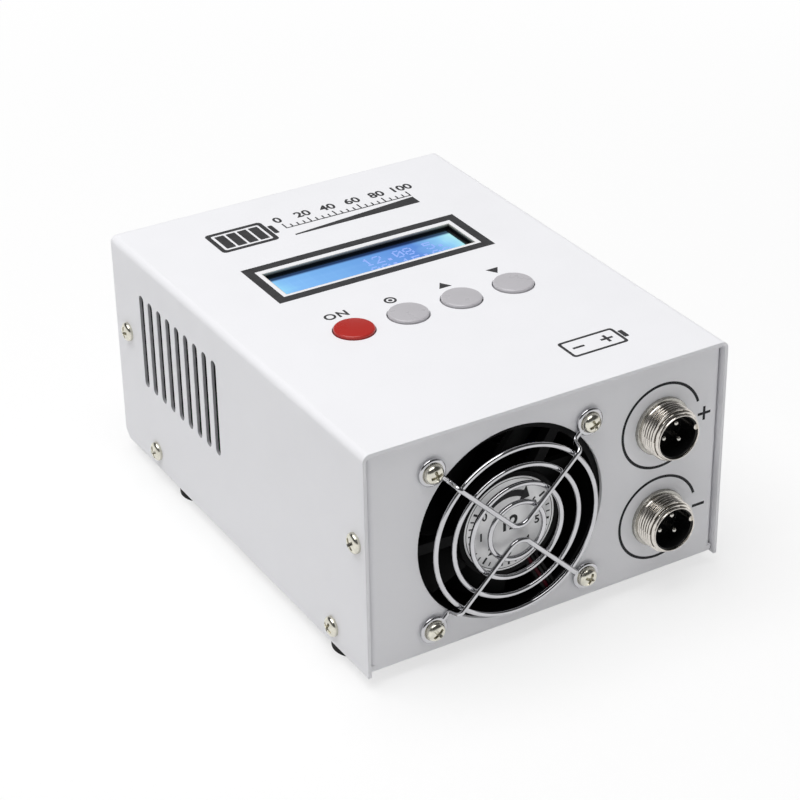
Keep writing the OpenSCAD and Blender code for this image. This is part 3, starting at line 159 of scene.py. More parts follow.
def flat_mesh(loops, thick=PRINT_T):
    """A flat plate of the loops' outlines, with inner loops cut out, standing on z = 0."""
    curve = bpy.data.curves.new("outline", "CURVE")
    curve.dimensions = "2D"
    curve.fill_mode = "BOTH"
    for loop in loops:
        spline = curve.splines.new("POLY")
        spline.points.add(len(loop) - 1)
        for point, (x, y) in zip(spline.points, loop):
            point.co = (x, y, 0.0, 1.0)
        spline.use_cyclic_u = True
    return solid_of(curve, thick)


def text_mesh(text, size, bold, spacing=1.0):
    """Plain characters on z = 0, centred on the origin, with strokes wider by bold on each side."""
    curve = bpy.data.curves.new("characters", "FONT")
    curve.body = text
    curve.size = size
    curve.space_character = spacing
    curve.align_x = "CENTER"
    curve.align_y = "CENTER"
    curve.resolution_u = 6
    curve.offset = bold
    return solid_of(curve, PRINT_T)


def solid_of(curve, thick):
    """The closed mesh of a filled curve, extruded upwards from z = 0."""
    weld = 1e-5
    curve.extrude = thick / 2
    holder = bpy.data.objects.new("holder", curve)
    bpy.context.scene.collection.objects.link(holder)
    bpy.context.view_layer.update()
    shape = holder.evaluated_get(bpy.context.evaluated_depsgraph_get())
    mesh = bpy.data.meshes.new_from_object(shape)
    bpy.data.objects.remove(holder)
    bpy.data.curves.remove(curve)
    mesh.transform(shifted(0, 0, thick / 2))
    bm = bmesh.new()
    bm.from_mesh(mesh)
    bmesh.ops.remove_doubles(bm, verts=bm.verts, dist=weld)
    bmesh.ops.recalc_face_normals(bm, faces=bm.faces)
    bm.to_mesh(mesh)
    bm.free()
    return mesh


def on_circle(r, angle, x=0.0, y=0.0):
    """The point of a circle round x, y at an angle in radians."""
    return x + r * math.cos(angle), y + r * math.sin(angle)


def rectangle(x0, x1, y0, y1):
    """Outline of a rectangle."""
    return [(x0, y0), (x1, y0), (x1, y1), (x0, y1)]


def rounded(x0, x1, y0, y1, r, steps=8):
    """Outline of a rectangle with round corners."""
    corners = rectangle(x0 + r, x1 - r, y0 + r, y1 - r)
    loop = []
    for quarter, (x, y) in enumerate(corners[2:] + corners[:2]):
        angles = [math.radians(90 * quarter + 90 * i / steps) for i in range(steps + 1)]
        loop += [on_circle(r, angle, x, y) for angle in angles]
    return loop


def arc_band(r, width, start, sweep, steps=96):
    """Outline of a band along an arc, with its angles in degrees."""
    angles = [math.radians(start + sweep * i / steps) for i in range(steps + 1)]
    outer = [on_circle(r + width / 2, angle) for angle in angles]
    inner = [on_circle(r - width / 2, angle) for angle in reversed(angles)]
    return outer + inner


def disc(r, x=0.0, y=0.0, steps=64):
    """Outline of a disc."""
    return [on_circle(r, 2 * math.pi * i / steps, x, y) for i in range(steps)]


def plus_loop(x, y, reach, half):
    """Outline of a plus, from its reach and half its stroke."""
    corners = [(reach, -half), (reach, half), (half, half), (half, reach), (-half, reach), (-half, half)]
    corners += [(-u, -v) for u, v in corners]
    return [(x + u, y + v) for u, v in corners]


def turned(profile, segments):
    """A closed body of revolution round Z.

    The profile is a closed loop of radius and height, where a radius may be a function of angle and height.
    """
    bm = bmesh.new()
    rings = []
    for i in range(segments):
        angle = 2 * math.pi * i / segments
        ring = []
        for radius, h in profile:
            r = radius(angle, h) if callable(radius) else radius
            ring.append(bm.verts.new((r * math.cos(angle), r * math.sin(angle), h)))
        rings.append(ring)
    for i, here in enumerate(rings):
        after = rings[(i + 1) % segments]
        for j in range(len(profile)):
            k = (j + 1) % len(profile)
            bm.faces.new((here[j], after[j], after[k], here[k]))
    bmesh.ops.recalc_face_normals(bm, faces=bm.faces)
    return mesh_of(bm, "turned")


# Colours and shaders
def linear(value):
    """sRGB 0..255 to linear."""
    share = value / 255
    return share / 12.92 if share <= 0.04045 else ((share + 0.055) / 1.055) ** 2.4


def rgb(red, green, blue):
    """A colour from its sRGB values."""
    return (linear(red), linear(green), linear(blue), 1.0)


def toned(colour, factor):
    """The colour, lighter or darker by a factor."""
    return tuple(min(1.0, channel * factor) for channel in colour[:3]) + (1.0,)


class Shader:
    """A small node tree round one Principled shader."""

    def __init__(self, name, rough, metal=0.0, coat=0.0, coat_rough=0.1, specular=0.5):
        self.material = bpy.data.materials.new(name)
        self.material.use_nodes = True
        self.tree = self.material.node_tree
        self.tree.nodes.clear()
        self.out = self.node("ShaderNodeOutputMaterial")
        self.bsdf = self.node("ShaderNodeBsdfPrincipled")
        self.link(self.bsdf.outputs[0], self.out.inputs["Surface"])
        self.set("Roughness", rough)
        self.set("Metallic", metal)
        self.set("Coat Weight", coat)
        self.set("Coat Roughness", coat_rough)
        self.set("Specular IOR Level", specular)
        self.set("IOR", 1.45)
        self.place = self.node("ShaderNodeTexCoord").outputs["Object"]

    def node(self, kind):
        """A new node."""
        return self.tree.nodes.new(kind)

    def set(self, name, value):
        """Sets a socket of the Principled shader."""
        self.bsdf.inputs[name].default_value = value

    def link(self, source, target):
        """Joins two sockets."""
        self.tree.links.new(source, target)

    def feed(self, target, value):
        """Links a socket to a node's output, or sets it to a plain value."""
        if isinstance(value, bpy.types.NodeSocket):
            self.link(value, target)
        else:
            target.default_value = value

    def paint(self, colour):
        """Takes the surface's colour from a node."""
        self.link(colour, self.bsdf.inputs["Base Color"])

    def glow(self, colour, strength):
        """Takes the surface's own light from a node."""
        self.link(colour, self.bsdf.inputs["Emission Color"])
        self.set("Emission Strength", strength)

    def axes(self):
        """X, Y and Z of the place, in metres."""
        split = self.node("ShaderNodeSeparateXYZ")
        self.link(self.place, split.inputs[0])
        return split.outputs

    def stretched(self, scale):
        """Object coordinates scaled along each axis."""
        mapping = self.node("ShaderNodeMapping")
        mapping.inputs["Scale"].default_value = scale
        self.link(self.place, mapping.inputs["Vector"])
        return mapping.outputs[0]

    def noise(self, size_mm, detail=3.0, place=None):
        """Noise whose features are about size_mm across."""
        noise = self.node("ShaderNodeTexNoise")
        noise.inputs["Scale"].default_value = 1.0 / (size_mm * MM)
        noise.inputs["Detail"].default_value = detail
        self.link(place or self.place, noise.inputs["Vector"])
        return noise.outputs["Fac"]

    def ramp(self, share, stops):
        """A colour ramp of (position, colour) stops."""
        ramp = self.node("ShaderNodeValToRGB")
        elements = ramp.color_ramp.elements
        while len(elements) < len(stops):
            elements.new(0.5)
        for element, (position, colour) in zip(elements, stops):
            element.position = position
            element.color = colour
        self.link(share, ramp.inputs["Fac"])
        return ramp.outputs["Color"]

    def mixed(self, share, first, second):
        """The first colour at share 0, the second at 1."""
        mix = self.node("ShaderNodeMix")
        mix.data_type = "RGBA"
        for name, value in (("Factor", share), ("A", first), ("B", second)):
            target = next(socket for socket in mix.inputs if socket.name == name and socket.enabled)
            self.feed(target, value)
        return next(socket for socket in mix.outputs if socket.enabled)

    def math(self, kind, first, second=0.0):
        """One step of arithmetic."""
        step = self.node("ShaderNodeMath")
        step.operation = kind
        self.feed(step.inputs[0], first)
        self.feed(step.inputs[1], second)
        return step.outputs[0]

    def between(self, value, start, end, low, high):
        """Goes from low to high while the value goes from start to end."""
        ends = self.node("ShaderNodeMapRange")
        for name, number in (("From Min", start), ("From Max", end), ("To Min", low), ("To Max", high)):
            ends.inputs[name].default_value = number
        self.link(value, ends.inputs["Value"])
        return ends.outputs[0]

    def within(self, low, high):
        """One inside a box between two corners in millimetres, else zero."""
        share = 1.0
        for value, start, end in zip(self.axes(), low, high):
            off = self.math("ABSOLUTE", self.math("SUBTRACT", value, (start + end) / 2 * MM))
            share = self.math("MULTIPLY", share, self.math("LESS_THAN", off, (end - start) / 2 * MM))
        return share

    def waves(self, size_mm, height, detail=3.0):
        """Noise round zero, of a given height."""
        centred = self.math("SUBTRACT", self.noise(size_mm, detail), 0.5)
        return self.math("MULTIPLY", centred, height)

    def patchy(self, base, vary, size_mm):
        """A colour that is a little lighter and darker in soft patches."""
        low, high = toned(base, 1 - vary), toned(base, 1 + vary)
        return self.ramp(self.noise(size_mm), [(0.35, low), (0.65, high)])

    def colour(self, base, vary, size_mm):
        """Paints the surface in soft patches of one colour."""
        self.paint(self.patchy(base, vary, size_mm))

    def roughness(self, low, high, size_mm):
        """Roughness that wanders between two values."""
        rough = self.between(self.noise(size_mm), 0.3, 0.7, low, high)
        self.link(rough, self.bsdf.inputs["Roughness"])

    def relief(self, height, depth_um, strength, edge_mm=0.0):
        """Bump of a real depth, over edges that are rounded a little."""
        bump = self.node("ShaderNodeBump")
        bump.inputs["Strength"].default_value = strength
        bump.inputs["Distance"].default_value = depth_um * 1e-6
        self.link(height, bump.inputs["Height"])
        if edge_mm:
            bevel = self.node("ShaderNodeBevel")
            bevel.samples = 6
            bevel.inputs["Radius"].default_value = edge_mm * MM
            self.link(bevel.outputs[0], bump.inputs["Normal"])
        self.link(bump.outputs[0], self.bsdf.inputs["Normal"])


# Materials
def powder_coat():
    """Semi-gloss white powder coat with fine orange peel, with painted shade on the vent slots' walls and a
    dark grey painted shade well inside.
    """
    look = Shader("white_powder_coat", 0.46, specular=0.3)
    coat = look.patchy(rgb(238, 238, 241), 0.006, 30)
    # Painted shade: the vent slots' cut walls are greyed, and the inside of the case is painted dark grey,
    # for the shade that falls there.
    slot_wall_shade = look.patchy(rgb(176, 176, 180), 0.06, 2)
    dark = look.patchy(rgb(36, 37, 40), 0.15, 6)
    coat_t, wall, panel_room = 0.03, 0.9, 30.0
    slots_low = (-SIDE_X + coat_t, SLOTS_Y[0], SLOTS_Z[0])
    slots_high = (SIDE_X - coat_t, SLOTS_Y[1], SLOTS_Z[1])
    inner_low = (-SIDE_X + wall, PANEL_Y + panel_room, FLOOR_Z + wall)
    inner_high = (SIDE_X - wall, REAR_Y - wall, COVER_TOP - wall)
    outside = look.mixed(look.within(slots_low, slots_high), coat, slot_wall_shade)
    look.paint(look.mixed(look.within(inner_low, inner_high), outside, dark))
    look.roughness(0.42, 0.52, size_mm=8)
    look.relief(look.noise(0.9, detail=2.0), 9, strength=0.55, edge_mm=0.35)
    return look.material


def nickel(name, tone, rough, grain_um=3.0):
    """Nickel plating, hazed in patches."""
    look = Shader(name, rough, metal=1.0)
    look.paint(look.ramp(look.noise(1.6, detail=5.0), [(0.35, toned(tone, 0.86)), (0.6, tone)]))
    look.roughness(rough * 0.7, rough * 1.4, size_mm=1.2)
    look.relief(look.noise(0.6), grain_um, strength=0.5, edge_mm=0.08)
    return look.material


def chrome_wire():
    """Chrome plating on drawn wire."""
    look = Shader("chrome_wire", 0.06, metal=1.0)
    look.colour(rgb(196, 196, 199), vary=0.05, size_mm=4)
    look.roughness(0.04, 0.1, size_mm=3)
    look.relief(look.noise(2.4, detail=2.0), 3, strength=0.3)
    return look.material


def moulded(name, tone, low, high, vary=0.12, grain_mm=0.35, grain_um=8.0, specular=0.5):
    """A moulded plastic with fine texture, its roughness between low and high."""
    look = Shader(name, (low + high) / 2, specular=specular)
    look.colour(tone, vary, size_mm=5)
    look.roughness(low, high, size_mm=2.5)
    look.relief(look.noise(grain_mm), grain_um, strength=0.5, edge_mm=0.15)
    return look.material


def brushed(name, tone, rough, along):
    """Drawn or brushed metal, with streaks along one axis."""
    look = Shader(name, rough, metal=1.0)
    scale = [0.04 if axis == along else 1.0 for axis in "XYZ"]
    streak = look.noise(0.25, detail=4.0, place=look.stretched(scale))
    look.paint(look.ramp(streak, [(0.3, toned(tone, 0.9)), (0.7, tone)]))
    look.roughness(rough * 0.8, rough * 1.3, size_mm=1.5)
    look.relief(streak, 4, strength=0.5, edge_mm=0.1)
    return look.material


def foil_label():
    """Silver foil of the fan's label: satin, with a fine grain."""
    look = Shader("silver_foil", 0.4, metal=0.6)
    look.colour(rgb(226, 226, 227), vary=0.03, size_mm=6)
    look.roughness(0.34, 0.46, size_mm=2)
    look.relief(look.noise(0.2), 3, strength=0.4)
    return look.material


def rubber():
    """Matt black rubber."""
    look = Shader("matt_rubber", 0.8, specular=0.3)
    look.colour(rgb(24, 24, 25), vary=0.2, size_mm=4)
    look.roughness(0.7, 0.9, size_mm=2)
    look.relief(look.noise(0.5, detail=5.0), 30, strength=0.6, edge_mm=0.3)
    return look.material


def key_plastic(name, tone):
    """Glossy key cap: a smooth skin with very fine moulding waves."""
    look = Shader(name, 0.3, coat=0.2, coat_rough=0.12)
    look.colour(tone, vary=0.012, size_mm=6)
    look.roughness(0.26, 0.34, size_mm=4)
    look.relief(look.noise(2.5, detail=1.0), 3, strength=0.3, edge_mm=0.25)
    return look.material


def display_glass():
    """Back-lit blue display: pale at both ends, with a painted shadow of its frame along its rear edge, and
    two rows of faint cells.
    """
    look = Shader("blue_display", 0.12, coat=0.3, coat_rough=0.05)
    x, y = look.axes()[:2]
    glass_l, glass_middle = 66.0 * MM, 0.502
    along = look.math("ADD", look.math("MULTIPLY", x, 1 / glass_l), glass_middle)
    ground = look.ramp(look.math("ADD", along, look.waves(9.0, 0.16, detail=2.0)), [
        (0.0, rgb(160, 228, 244)), (0.13, rgb(136, 192, 240)), (0.45, rgb(118, 172, 226)),
        (0.78, rgb(98, 143, 213)), (0.93, rgb(154, 214, 241)), (1.0, rgb(184, 242, 240)),
    ])

    def in_cell(value, pitch, half):
        """One within half a cell's width of the middle of each pitch."""
        step = look.math("FRACT", look.math("DIVIDE", value, pitch))
        return look.math("LESS_THAN", look.math("ABSOLUTE", look.math("SUBTRACT", step, 0.5)), half)

    row_line, row_pitch, cell_strength = 24.6 * MM, 5.95 * MM, 0.05
    in_column = in_cell(x, CELL_W * MM, 0.42)
    in_row = in_cell(look.math("SUBTRACT", y, row_line), row_pitch, 0.46)
    cells = look.math("MULTIPLY", look.math("MULTIPLY", in_column, in_row), cell_strength)
    lit = look.mixed(cells, ground, rgb(90, 120, 215))
    # Painted shadow: the frame's shadow on the glass, darkening the glow towards the rear edge.
    shade_start, shade_end, darkest = 31.2 * MM, 32.2 * MM, 0.9
    shade = look.between(y, shade_start, shade_end, 0.0, darkest)
    look.set("Base Color", rgb(20, 50, 100))
    look.glow(look.mixed(shade, lit, rgb(14, 22, 64)), 0.97)
    look.relief(look.noise(4.0), 2, strength=0.3)
    return look.material


def display_dots():
    """Lit dots of the display, a little pinker than its ground."""
    look = Shader("display_dots", 0.3)
    look.set("Base Color", rgb(120, 120, 160))
    look.glow(look.ramp(look.noise(6.0), [(0.4, rgb(112, 160, 226)), (0.7, rgb(130, 162, 228))]), 0.86)
    return look.material


def window_edge_painted_shade():
    """Cut edge of the display window: bare above, greyed downwards by painted shade, and black below,
    partly the display frame's black paint and partly painted shadow in the gap where the frame meets it.
    """
    look = Shader("window_edge_painted_shade", 0.7, specular=0.12)
    over_frame = look.math("SUBTRACT", look.axes()[2], (COVER_TOP - WINDOW_DEPTH) * MM)
    height = look.math("MULTIPLY", over_frame, 1 / (WINDOW_DEPTH * MM))
    # Painted shade: from bare white at the top, down through grey into black.
    look.paint(look.ramp(look.math("ADD", height, look.waves(3.0, 0.1)), [
        (0.0, rgb(5, 5, 6)), (0.52, rgb(8, 8, 9)), (0.74, rgb(120, 115, 105)), (1.0, rgb(214, 208, 196)),
    ]))
    return look.material


def ink(name, tone):
    """Screen-printed ink, slightly matt and uneven."""
    look = Shader(name, 0.55, specular=0.35)
    look.colour(tone, vary=0.12, size_mm=2.5)
    look.roughness(0.48, 0.65, size_mm=1)
    look.relief(look.noise(0.3), 4, strength=0.4)
    return look.material


def circuit_board():
    """Green solder mask over faint copper tracks."""
    look = Shader("solder_mask", 0.35, coat=0.3, coat_rough=0.2)
    tracks = look.math("GREATER_THAN", look.noise(2.2, detail=0.0), 0.52)
    look.paint(look.mixed(tracks, rgb(14, 70, 36), rgb(22, 96, 48)))
    look.relief(tracks, 30, strength=0.5, edge_mm=0.1)
    return look.material


def wound_copper(name, tone):
    """Enamelled wire wound side by side, with painted shade in the grooves between the turns."""
    turn_mm = 0.7
    look = Shader(name, 0.3, metal=0.8)
    x, y = look.axes()[:2]
    turns = look.math("PINGPONG", look.math("DIVIDE", look.math("ADD", x, y), turn_mm * MM), 1.0)
    # Painted shade: the colour darkens towards the grooves between turns.
    look.paint(look.ramp(turns, [(0.0, toned(tone, 0.45)), (0.5, tone)]))
    look.relief(turns, 150, strength=0.8)
    return look.material


def flat_cable():
    """Grey ribbon cable, ribbed by its wires, with painted shade in the grooves between them."""
    rib_mm = 0.635
    look = Shader("ribbon", 0.5)
    ribs = look.math("PINGPONG", look.math("DIVIDE", look.axes()[0], rib_mm * MM), 1.0)
    # Painted shade: the grey darkens towards the grooves between the wires.
    look.paint(look.ramp(ribs, [(0.0, rgb(120, 122, 128)), (0.6, rgb(172, 174, 180))]))
    look.relief(ribs, 120, strength=0.6)
    return look.material


# Material of each slot
FINISH = {
    "white_paint": powder_coat(),
    "nickel_steel": nickel("nickel_steel_finish", rgb(226, 223, 210), 0.2, 2.0),
    "rubber": rubber(),
    "zinc_steel": brushed("zinc_finish", rgb(186, 190, 196), 0.34, "Z"),
    "fan_plastic": moulded("fan_black", rgb(8, 8, 9), 0.5, 0.62, specular=0.12),
    "rotor_plastic": moulded("rotor_black", rgb(8, 8, 9), 0.46, 0.58, specular=0.12),
    "bronze": brushed("bronze_finish", rgb(176, 140, 92), 0.45, "Y"),
    "copper_wire": wound_copper("copper_winding", rgb(196, 112, 62)),
    "silver_label": foil_label(),
    "white_nylon": moulded("nylon", rgb(232, 230, 222), 0.45, 0.55, vary=0.03),
    "ferrite": moulded("ferrite_finish", rgb(62, 62, 64), 0.6, 0.75, grain_mm=0.2, grain_um=15),
    "shaft_steel": brushed("shaft_finish", rgb(206, 206, 208), 0.22, "Y"),
    "guard_chrome": chrome_wire(),
    "shell_nickel": nickel("shell_nickel_finish", rgb(220, 215, 208), 0.13, 2.0),
    "insert_black": moulded("insulator_black", rgb(16, 16, 17), 0.25, 0.36, vary=0.1, grain_um=4),
    "pin_silver": nickel("pin_finish", rgb(206, 204, 198), 0.08, 1.0),
    # Painted shade: the red of the fan's lead is darkened for the shade it lies in behind the fan.
    "red_pvc": moulded("shaded_red_insulation", rgb(66, 3, 20), 0.45, 0.55, vary=0.06, specular=0.12),
    "black_pvc": moulded("black_insulation", rgb(9, 9, 10), 0.45, 0.55, specular=0.2),
    "brass": brushed("brass_finish", rgb(214, 184, 118), 0.28, "Z"),
    "bezel_black": moulded("bezel_paint", rgb(17, 17, 18), 0.42, 0.55, grain_mm=0.25, grain_um=6),
    "display_blue": display_glass(),
    "backlight_white": moulded("diffuser", rgb(228, 238, 246), 0.5, 0.6, vary=0.02),
    "board_green": circuit_board(),
    "part_black": moulded("part_black_finish", rgb(26, 26, 27), 0.4, 0.55),
    "key_red": key_plastic("key_red_finish", rgb(180, 44, 38)),
    "key_grey": key_plastic("key_grey_finish", rgb(189, 187, 191)),
    "stem_plastic": moulded("stem_finish", rgb(58, 44, 38), 0.4, 0.5),
    "sink_aluminium": brushed("sink_finish", rgb(196, 198, 202), 0.35, "Y"),
    "epoxy_black": moulded("epoxy_finish", rgb(22, 22, 23), 0.5, 0.65, grain_mm=0.2, grain_um=10),
    "capacitor_sleeve": moulded("sleeve_finish", rgb(26, 28, 44), 0.2, 0.32, vary=0.08, grain_um=3),
    "core_yellow": moulded("core_finish", rgb(206, 186, 60), 0.5, 0.65, vary=0.06),
    "relay_blue": moulded("relay_finish", rgb(28, 88, 172), 0.35, 0.48, vary=0.05),
    "ribbon_grey": flat_cable(),
}

# Materials of the scene's own pieces
INK_GREY = ink("print_grey", rgb(58, 58, 60))
INK_BLACK = ink("print_black", rgb(38, 38, 40))
INK_RING = ink("print_ring", rgb(20, 21, 26))
# Painted shade: the flange's nickel is toned darker than the barrel's, for the dimmer reflection it shows;
# its higher roughness is the satin finish's own.
SATIN_NICKEL_PAINTED_SHADE = nickel("satin_nickel_painted_shade", rgb(176, 174, 168), 0.24)
THREAD_SHADE = nickel("thread_shade", rgb(104, 98, 90), 0.3)

for node in nodes.values():
    for slot in node.material_slots:
        slot.material = FINISH[slot.material.name]


# Prints on the cover
def display_frame():
    """The broad dark line round the display window."""
    outer = rectangle(-36.1, 37.25, 12.7, 37.4)
    inner = rectangle(-33.1, 34.3, 15.8, 34.25)
    add_print("display_frame_print", [flat_mesh([outer, inner])], INK_GREY, on_top())


def key_marks():
    """ON over the red key, and plain signs over the others: a ring, an up arrow and a down arrow."""
    rise, word_size = 10.3, 4.6
    ring_r, ring_hole_r, dot_r = 1.9, 1.2, 0.65
    arrow_half_w, arrow_low, arrow_high = 2.1, -1.5, 1.8
    up_arrow = [(-arrow_half_w, arrow_low), (arrow_half_w, arrow_low), (0.0, arrow_high)]
    down_arrow = [(x, -y) for x, y in reversed(up_arrow)]
    marks = {
        "on": [text_mesh("ON", word_size, bold=0.13, spacing=1.15)],
        "set": [flat_mesh([disc(ring_r), disc(ring_hole_r)]), flat_mesh([disc(dot_r, steps=24)])],
        "up": [flat_mesh([up_arrow])],
        "down": [flat_mesh([down_arrow])],
    }
    for (key, parts), x in zip(marks.items(), KEY_XS):
        add_print(key + "_print", parts, INK_GREY, on_top(x, KEY_Y + rise))


def battery_outline(left, right, low, high, wall, radii):
    """Outline of a battery's case, drawn as a line."""
    outer = rounded(left, right, low, high, radii[0])
    inner = rounded(left + wall, right - wall, low + wall, high - wall, radii[1])
    return flat_mesh([outer, inner])


def battery_mark():
    """A battery pictogram with four bars."""
    left, right, low, high = -34.8, -15.6, 50.6, 64.4
    wall, radii = 1.5, (1.4, 0.7)
    bars, bar_w, bar_pitch, bar_inset, bar_r = 4, 3.1, 3.82, 2.4, 0.3
    cap_gap, cap_l, cap_inset, cap_r = 0.4, 1.6, 4.0, 0.5
    cap_x = right + cap_gap
    parts = [battery_outline(left, right, low, high, wall, radii)]
    parts.append(flat_mesh([rounded(cap_x, cap_x + cap_l, low + cap_inset, high - cap_inset, cap_r)]))
    for i in range(bars):
        x = left + bar_inset + bar_pitch * i
        parts.append(flat_mesh([rounded(x, x + bar_w, low + bar_inset, high - bar_inset, bar_r)]))
    add_print("battery_print", parts, INK_GREY, on_top())


def capacity_scale():
    """A scale from 0 to 100 with its ticks and a wedge that grows along it."""
    left, right, line_y, line_w = -10.4, 33.6, 55.9, 0.5
    steps, number_y, number_size, number_bold = 5, 62.4, 5.2, 0.14
    ticks_per_step, tick_y, tick_high, long_high = 4, 56.5, 58.2, 59.4
    wedge_y, wedge_start, wedge_end = 50.3, 0.7, 4.7
    parts = []
    for i in range(steps + 1):
        number = text_mesh(str(100 * i // steps), number_size, number_bold)
        number.transform(shifted(left + (right - left) * i / steps, number_y, 0))
        parts.append(number)
    ticks = steps * ticks_per_step
    for i in range(ticks + 1):
        x = left + (right - left) * i / ticks
        top = tick_high if i % ticks_per_step else long_high
        parts.append(flat_mesh([rectangle(x - line_w / 2, x + line_w / 2, tick_y, top)]))
    parts.append(flat_mesh([rectangle(left - line_w / 2, right + line_w / 2, line_y, line_y + line_w)]))
    wedge = [(left, wedge_y), (right, wedge_y), (right, wedge_y + wedge_end), (left, wedge_y + wedge_start)]
    parts.append(flat_mesh([wedge]))
    add_print("scale_print", parts, INK_GREY, on_top())


def polarity_mark():
    """A battery sign with minus and plus."""
    left, right, y, half_h, wall, radii = 17.0, 35.4, -54.6, 4.6, 0.9, (1.1, 0.6)
    cap_gap, cap_l, cap_half_h, cap_r = 0.3, 1.5, 2.0, 0.3
    minus_x, minus_reach, plus_x, plus_reach, half_line = 21.4, 1.9, 30.8, 2.0, 0.45
    cap_x = right + cap_gap
    minus = rectangle(minus_x - minus_reach, minus_x + minus_reach, y - half_line, y + half_line)
    parts = [
        battery_outline(left, right, y - half_h, y + half_h, wall, radii),
        flat_mesh([rounded(cap_x, cap_x + cap_l, y - cap_half_h, y + cap_half_h, cap_r)]),
        flat_mesh([minus]),
        flat_mesh([plus_loop(plus_x, y, plus_reach, half_line)]),
    ]
    add_print("polarity_print", parts, INK_GREY, on_top())


# Prints on the front panel and the fan's label
def socket_marks():
    """An open ring round each socket, with a plus and a minus beside the gaps."""
    ring_r, ring_w, gap, off_x, off_z = 13.1, 0.84, 36, 0.05, -0.2
    plus_x, plus_z, plus_reach, plus_half_line = 52.0, 52.45, 2.2, 0.42
    minus_x, minus_z, minus_reach, minus_half_line = 51.6, 22.4, 2.15, 0.45
    for name, z in SOCKET_ZS.items():
        ring = flat_mesh([arc_band(ring_r, ring_w, gap / 2, 360 - gap)])
        add_print(name + "_ring_print", [ring], INK_RING, on_front(SOCKET_X + off_x, z + off_z))
    plus = flat_mesh([plus_loop(0, 0, plus_reach, plus_half_line)])
    add_print("plus_print", [plus], INK_RING, on_front(plus_x, plus_z))
    minus = flat_mesh([rectangle(-minus_reach, minus_reach, -minus_half_line, minus_half_line)])
    add_print("minus_print", [minus], INK_RING, on_front(minus_x, minus_z))


def label_marks():
    """Signs on the fan's label: an arrow for its turn, a dial of ticks and numbers, and the number 12."""
    rim_r, rim_w, rim_sweep = 13.9, 0.2, 359.9
    arrow_r, arrow_w, arrow_end, arrow_sweep = 9.4, 2.0, 62, 66
    tip, head_end, head_half_w = 46, 63, 2.5
    ticks, tick_step, long_every, first = 24, 10, 4, 150
    tick_r, long_r, tick_out, number_r = 12.0, 11.2, 13.2, 9.2
    tick_half_w, long_half_w = 0.2, 0.34
    number_size, middle_size = 3.4, 6.0
    barbs = [on_circle(arrow_r + off, math.radians(head_end)) for off in (head_half_w, -head_half_w)]
    parts = [
        flat_mesh([arc_band(rim_r, rim_w, 0, rim_sweep)]),
        flat_mesh([arc_band(arrow_r, arrow_w, arrow_end, arrow_sweep)]),
        flat_mesh([[on_circle(arrow_r, math.radians(tip)), *barbs]]),
    ]
    for i in range(ticks + 1):
        long = i % long_every == 0
        out = Vector(on_circle(1.0, math.radians(first + tick_step * i)))
        across = Vector((-out.y, out.x)) * (long_half_w if long else tick_half_w)
        start = out * (long_r if long else tick_r)
        end = out * tick_out
        corners = (start - across, end - across, end + across, start + across)
        parts.append(flat_mesh([[tuple(corner) for corner in corners]]))
        if long:
            number = text_mesh(str(i // long_every), number_size, bold=0.1)
            number.transform(shifted(out.x * number_r, out.y * number_r, 0))
            parts.append(number)
    parts.append(text_mesh("12", middle_size, bold=0.18))
    add_print("label_print", parts, INK_BLACK, on_label())


# The display and its window
def window_lip():
    """The edge of the display window, down to the display's frame: a thin sheet that carries the painted
    shade of the window's wall.
    """
    x0, x1, y0, y1 = WINDOW
    gap, wall, clear = 0.02, 0.14, 0.05
    outer = rectangle(x0 + gap, x1 - gap, y0 + gap, y1 - gap)
    inner = rectangle(x0 + wall, x1 - wall, y0 + wall, y1 - wall)
    drop = WINDOW_DEPTH - clear
    lip = flat_mesh([outer, inner], drop - PRINT_T)
    add_piece("window_lip", lip, "case", window_edge_painted_shade(), on_top(h=-drop))


# Rows of dots of each character, from the top
CHARACTERS = {
    "0": "01110 10001 10011 10101 11001 10001 01110",
    "1": "00100 01100 00100 00100 00100 00100 01110",
    "2": "01110 10001 00001 00010 00100 01000 11111",
    "5": "11111 10000 11110 00001 00001 10001 01110",
    "8": "01110 10001 10001 01110 10001 10001 01110",
    ".": "00000 00000 00000 00000 00000 01100 01100",
    ":": "00000 01100 01100 00000 01100 01100 00000",
}


def display_text():
    """Two rows of plain numbers in five by seven dots, just over the glass."""
    left, upper_y, lower_y, top_dot = -28.4, 27.3, 21.3, 2.0
    dot_w, dot_h, pitch_x, pitch_y = 0.56, 0.62, 0.6, 0.68
    low, high = GLASS_TOP + 0.002, GLASS_TOP + 0.02
    bm = bmesh.new()
    for row_y, text in ((upper_y, "        12.08 5."), (lower_y, "        00:15:08")):
        for column, sign in enumerate(text):
            for j, row in enumerate(CHARACTERS.get(sign, "").split()):
                for i, lit in enumerate(row):
                    if lit == "1":
                        x = left + column * CELL_W + i * pitch_x
                        y = row_y + top_dot - j * pitch_y
                        add_box(bm, rectangle(x, x + dot_w, y, y + dot_h), low, high)
    add_piece("display_characters", mesh_of(bm, "characters"), "case", display_dots())


def add_box(bm, outline, low, high):
    """Adds a closed box over a rectangle's outline."""
    under = [bm.verts.new((x, y, low)) for x, y in outline]
    over = [bm.verts.new((x, y, high)) for x, y in outline]
    bm.faces.new(over)
    bm.faces.new(under[::-1])
    for i in range(4):
        j = (i + 1) % 4
        bm.faces.new((under[i], under[j], over[j], over[i]))


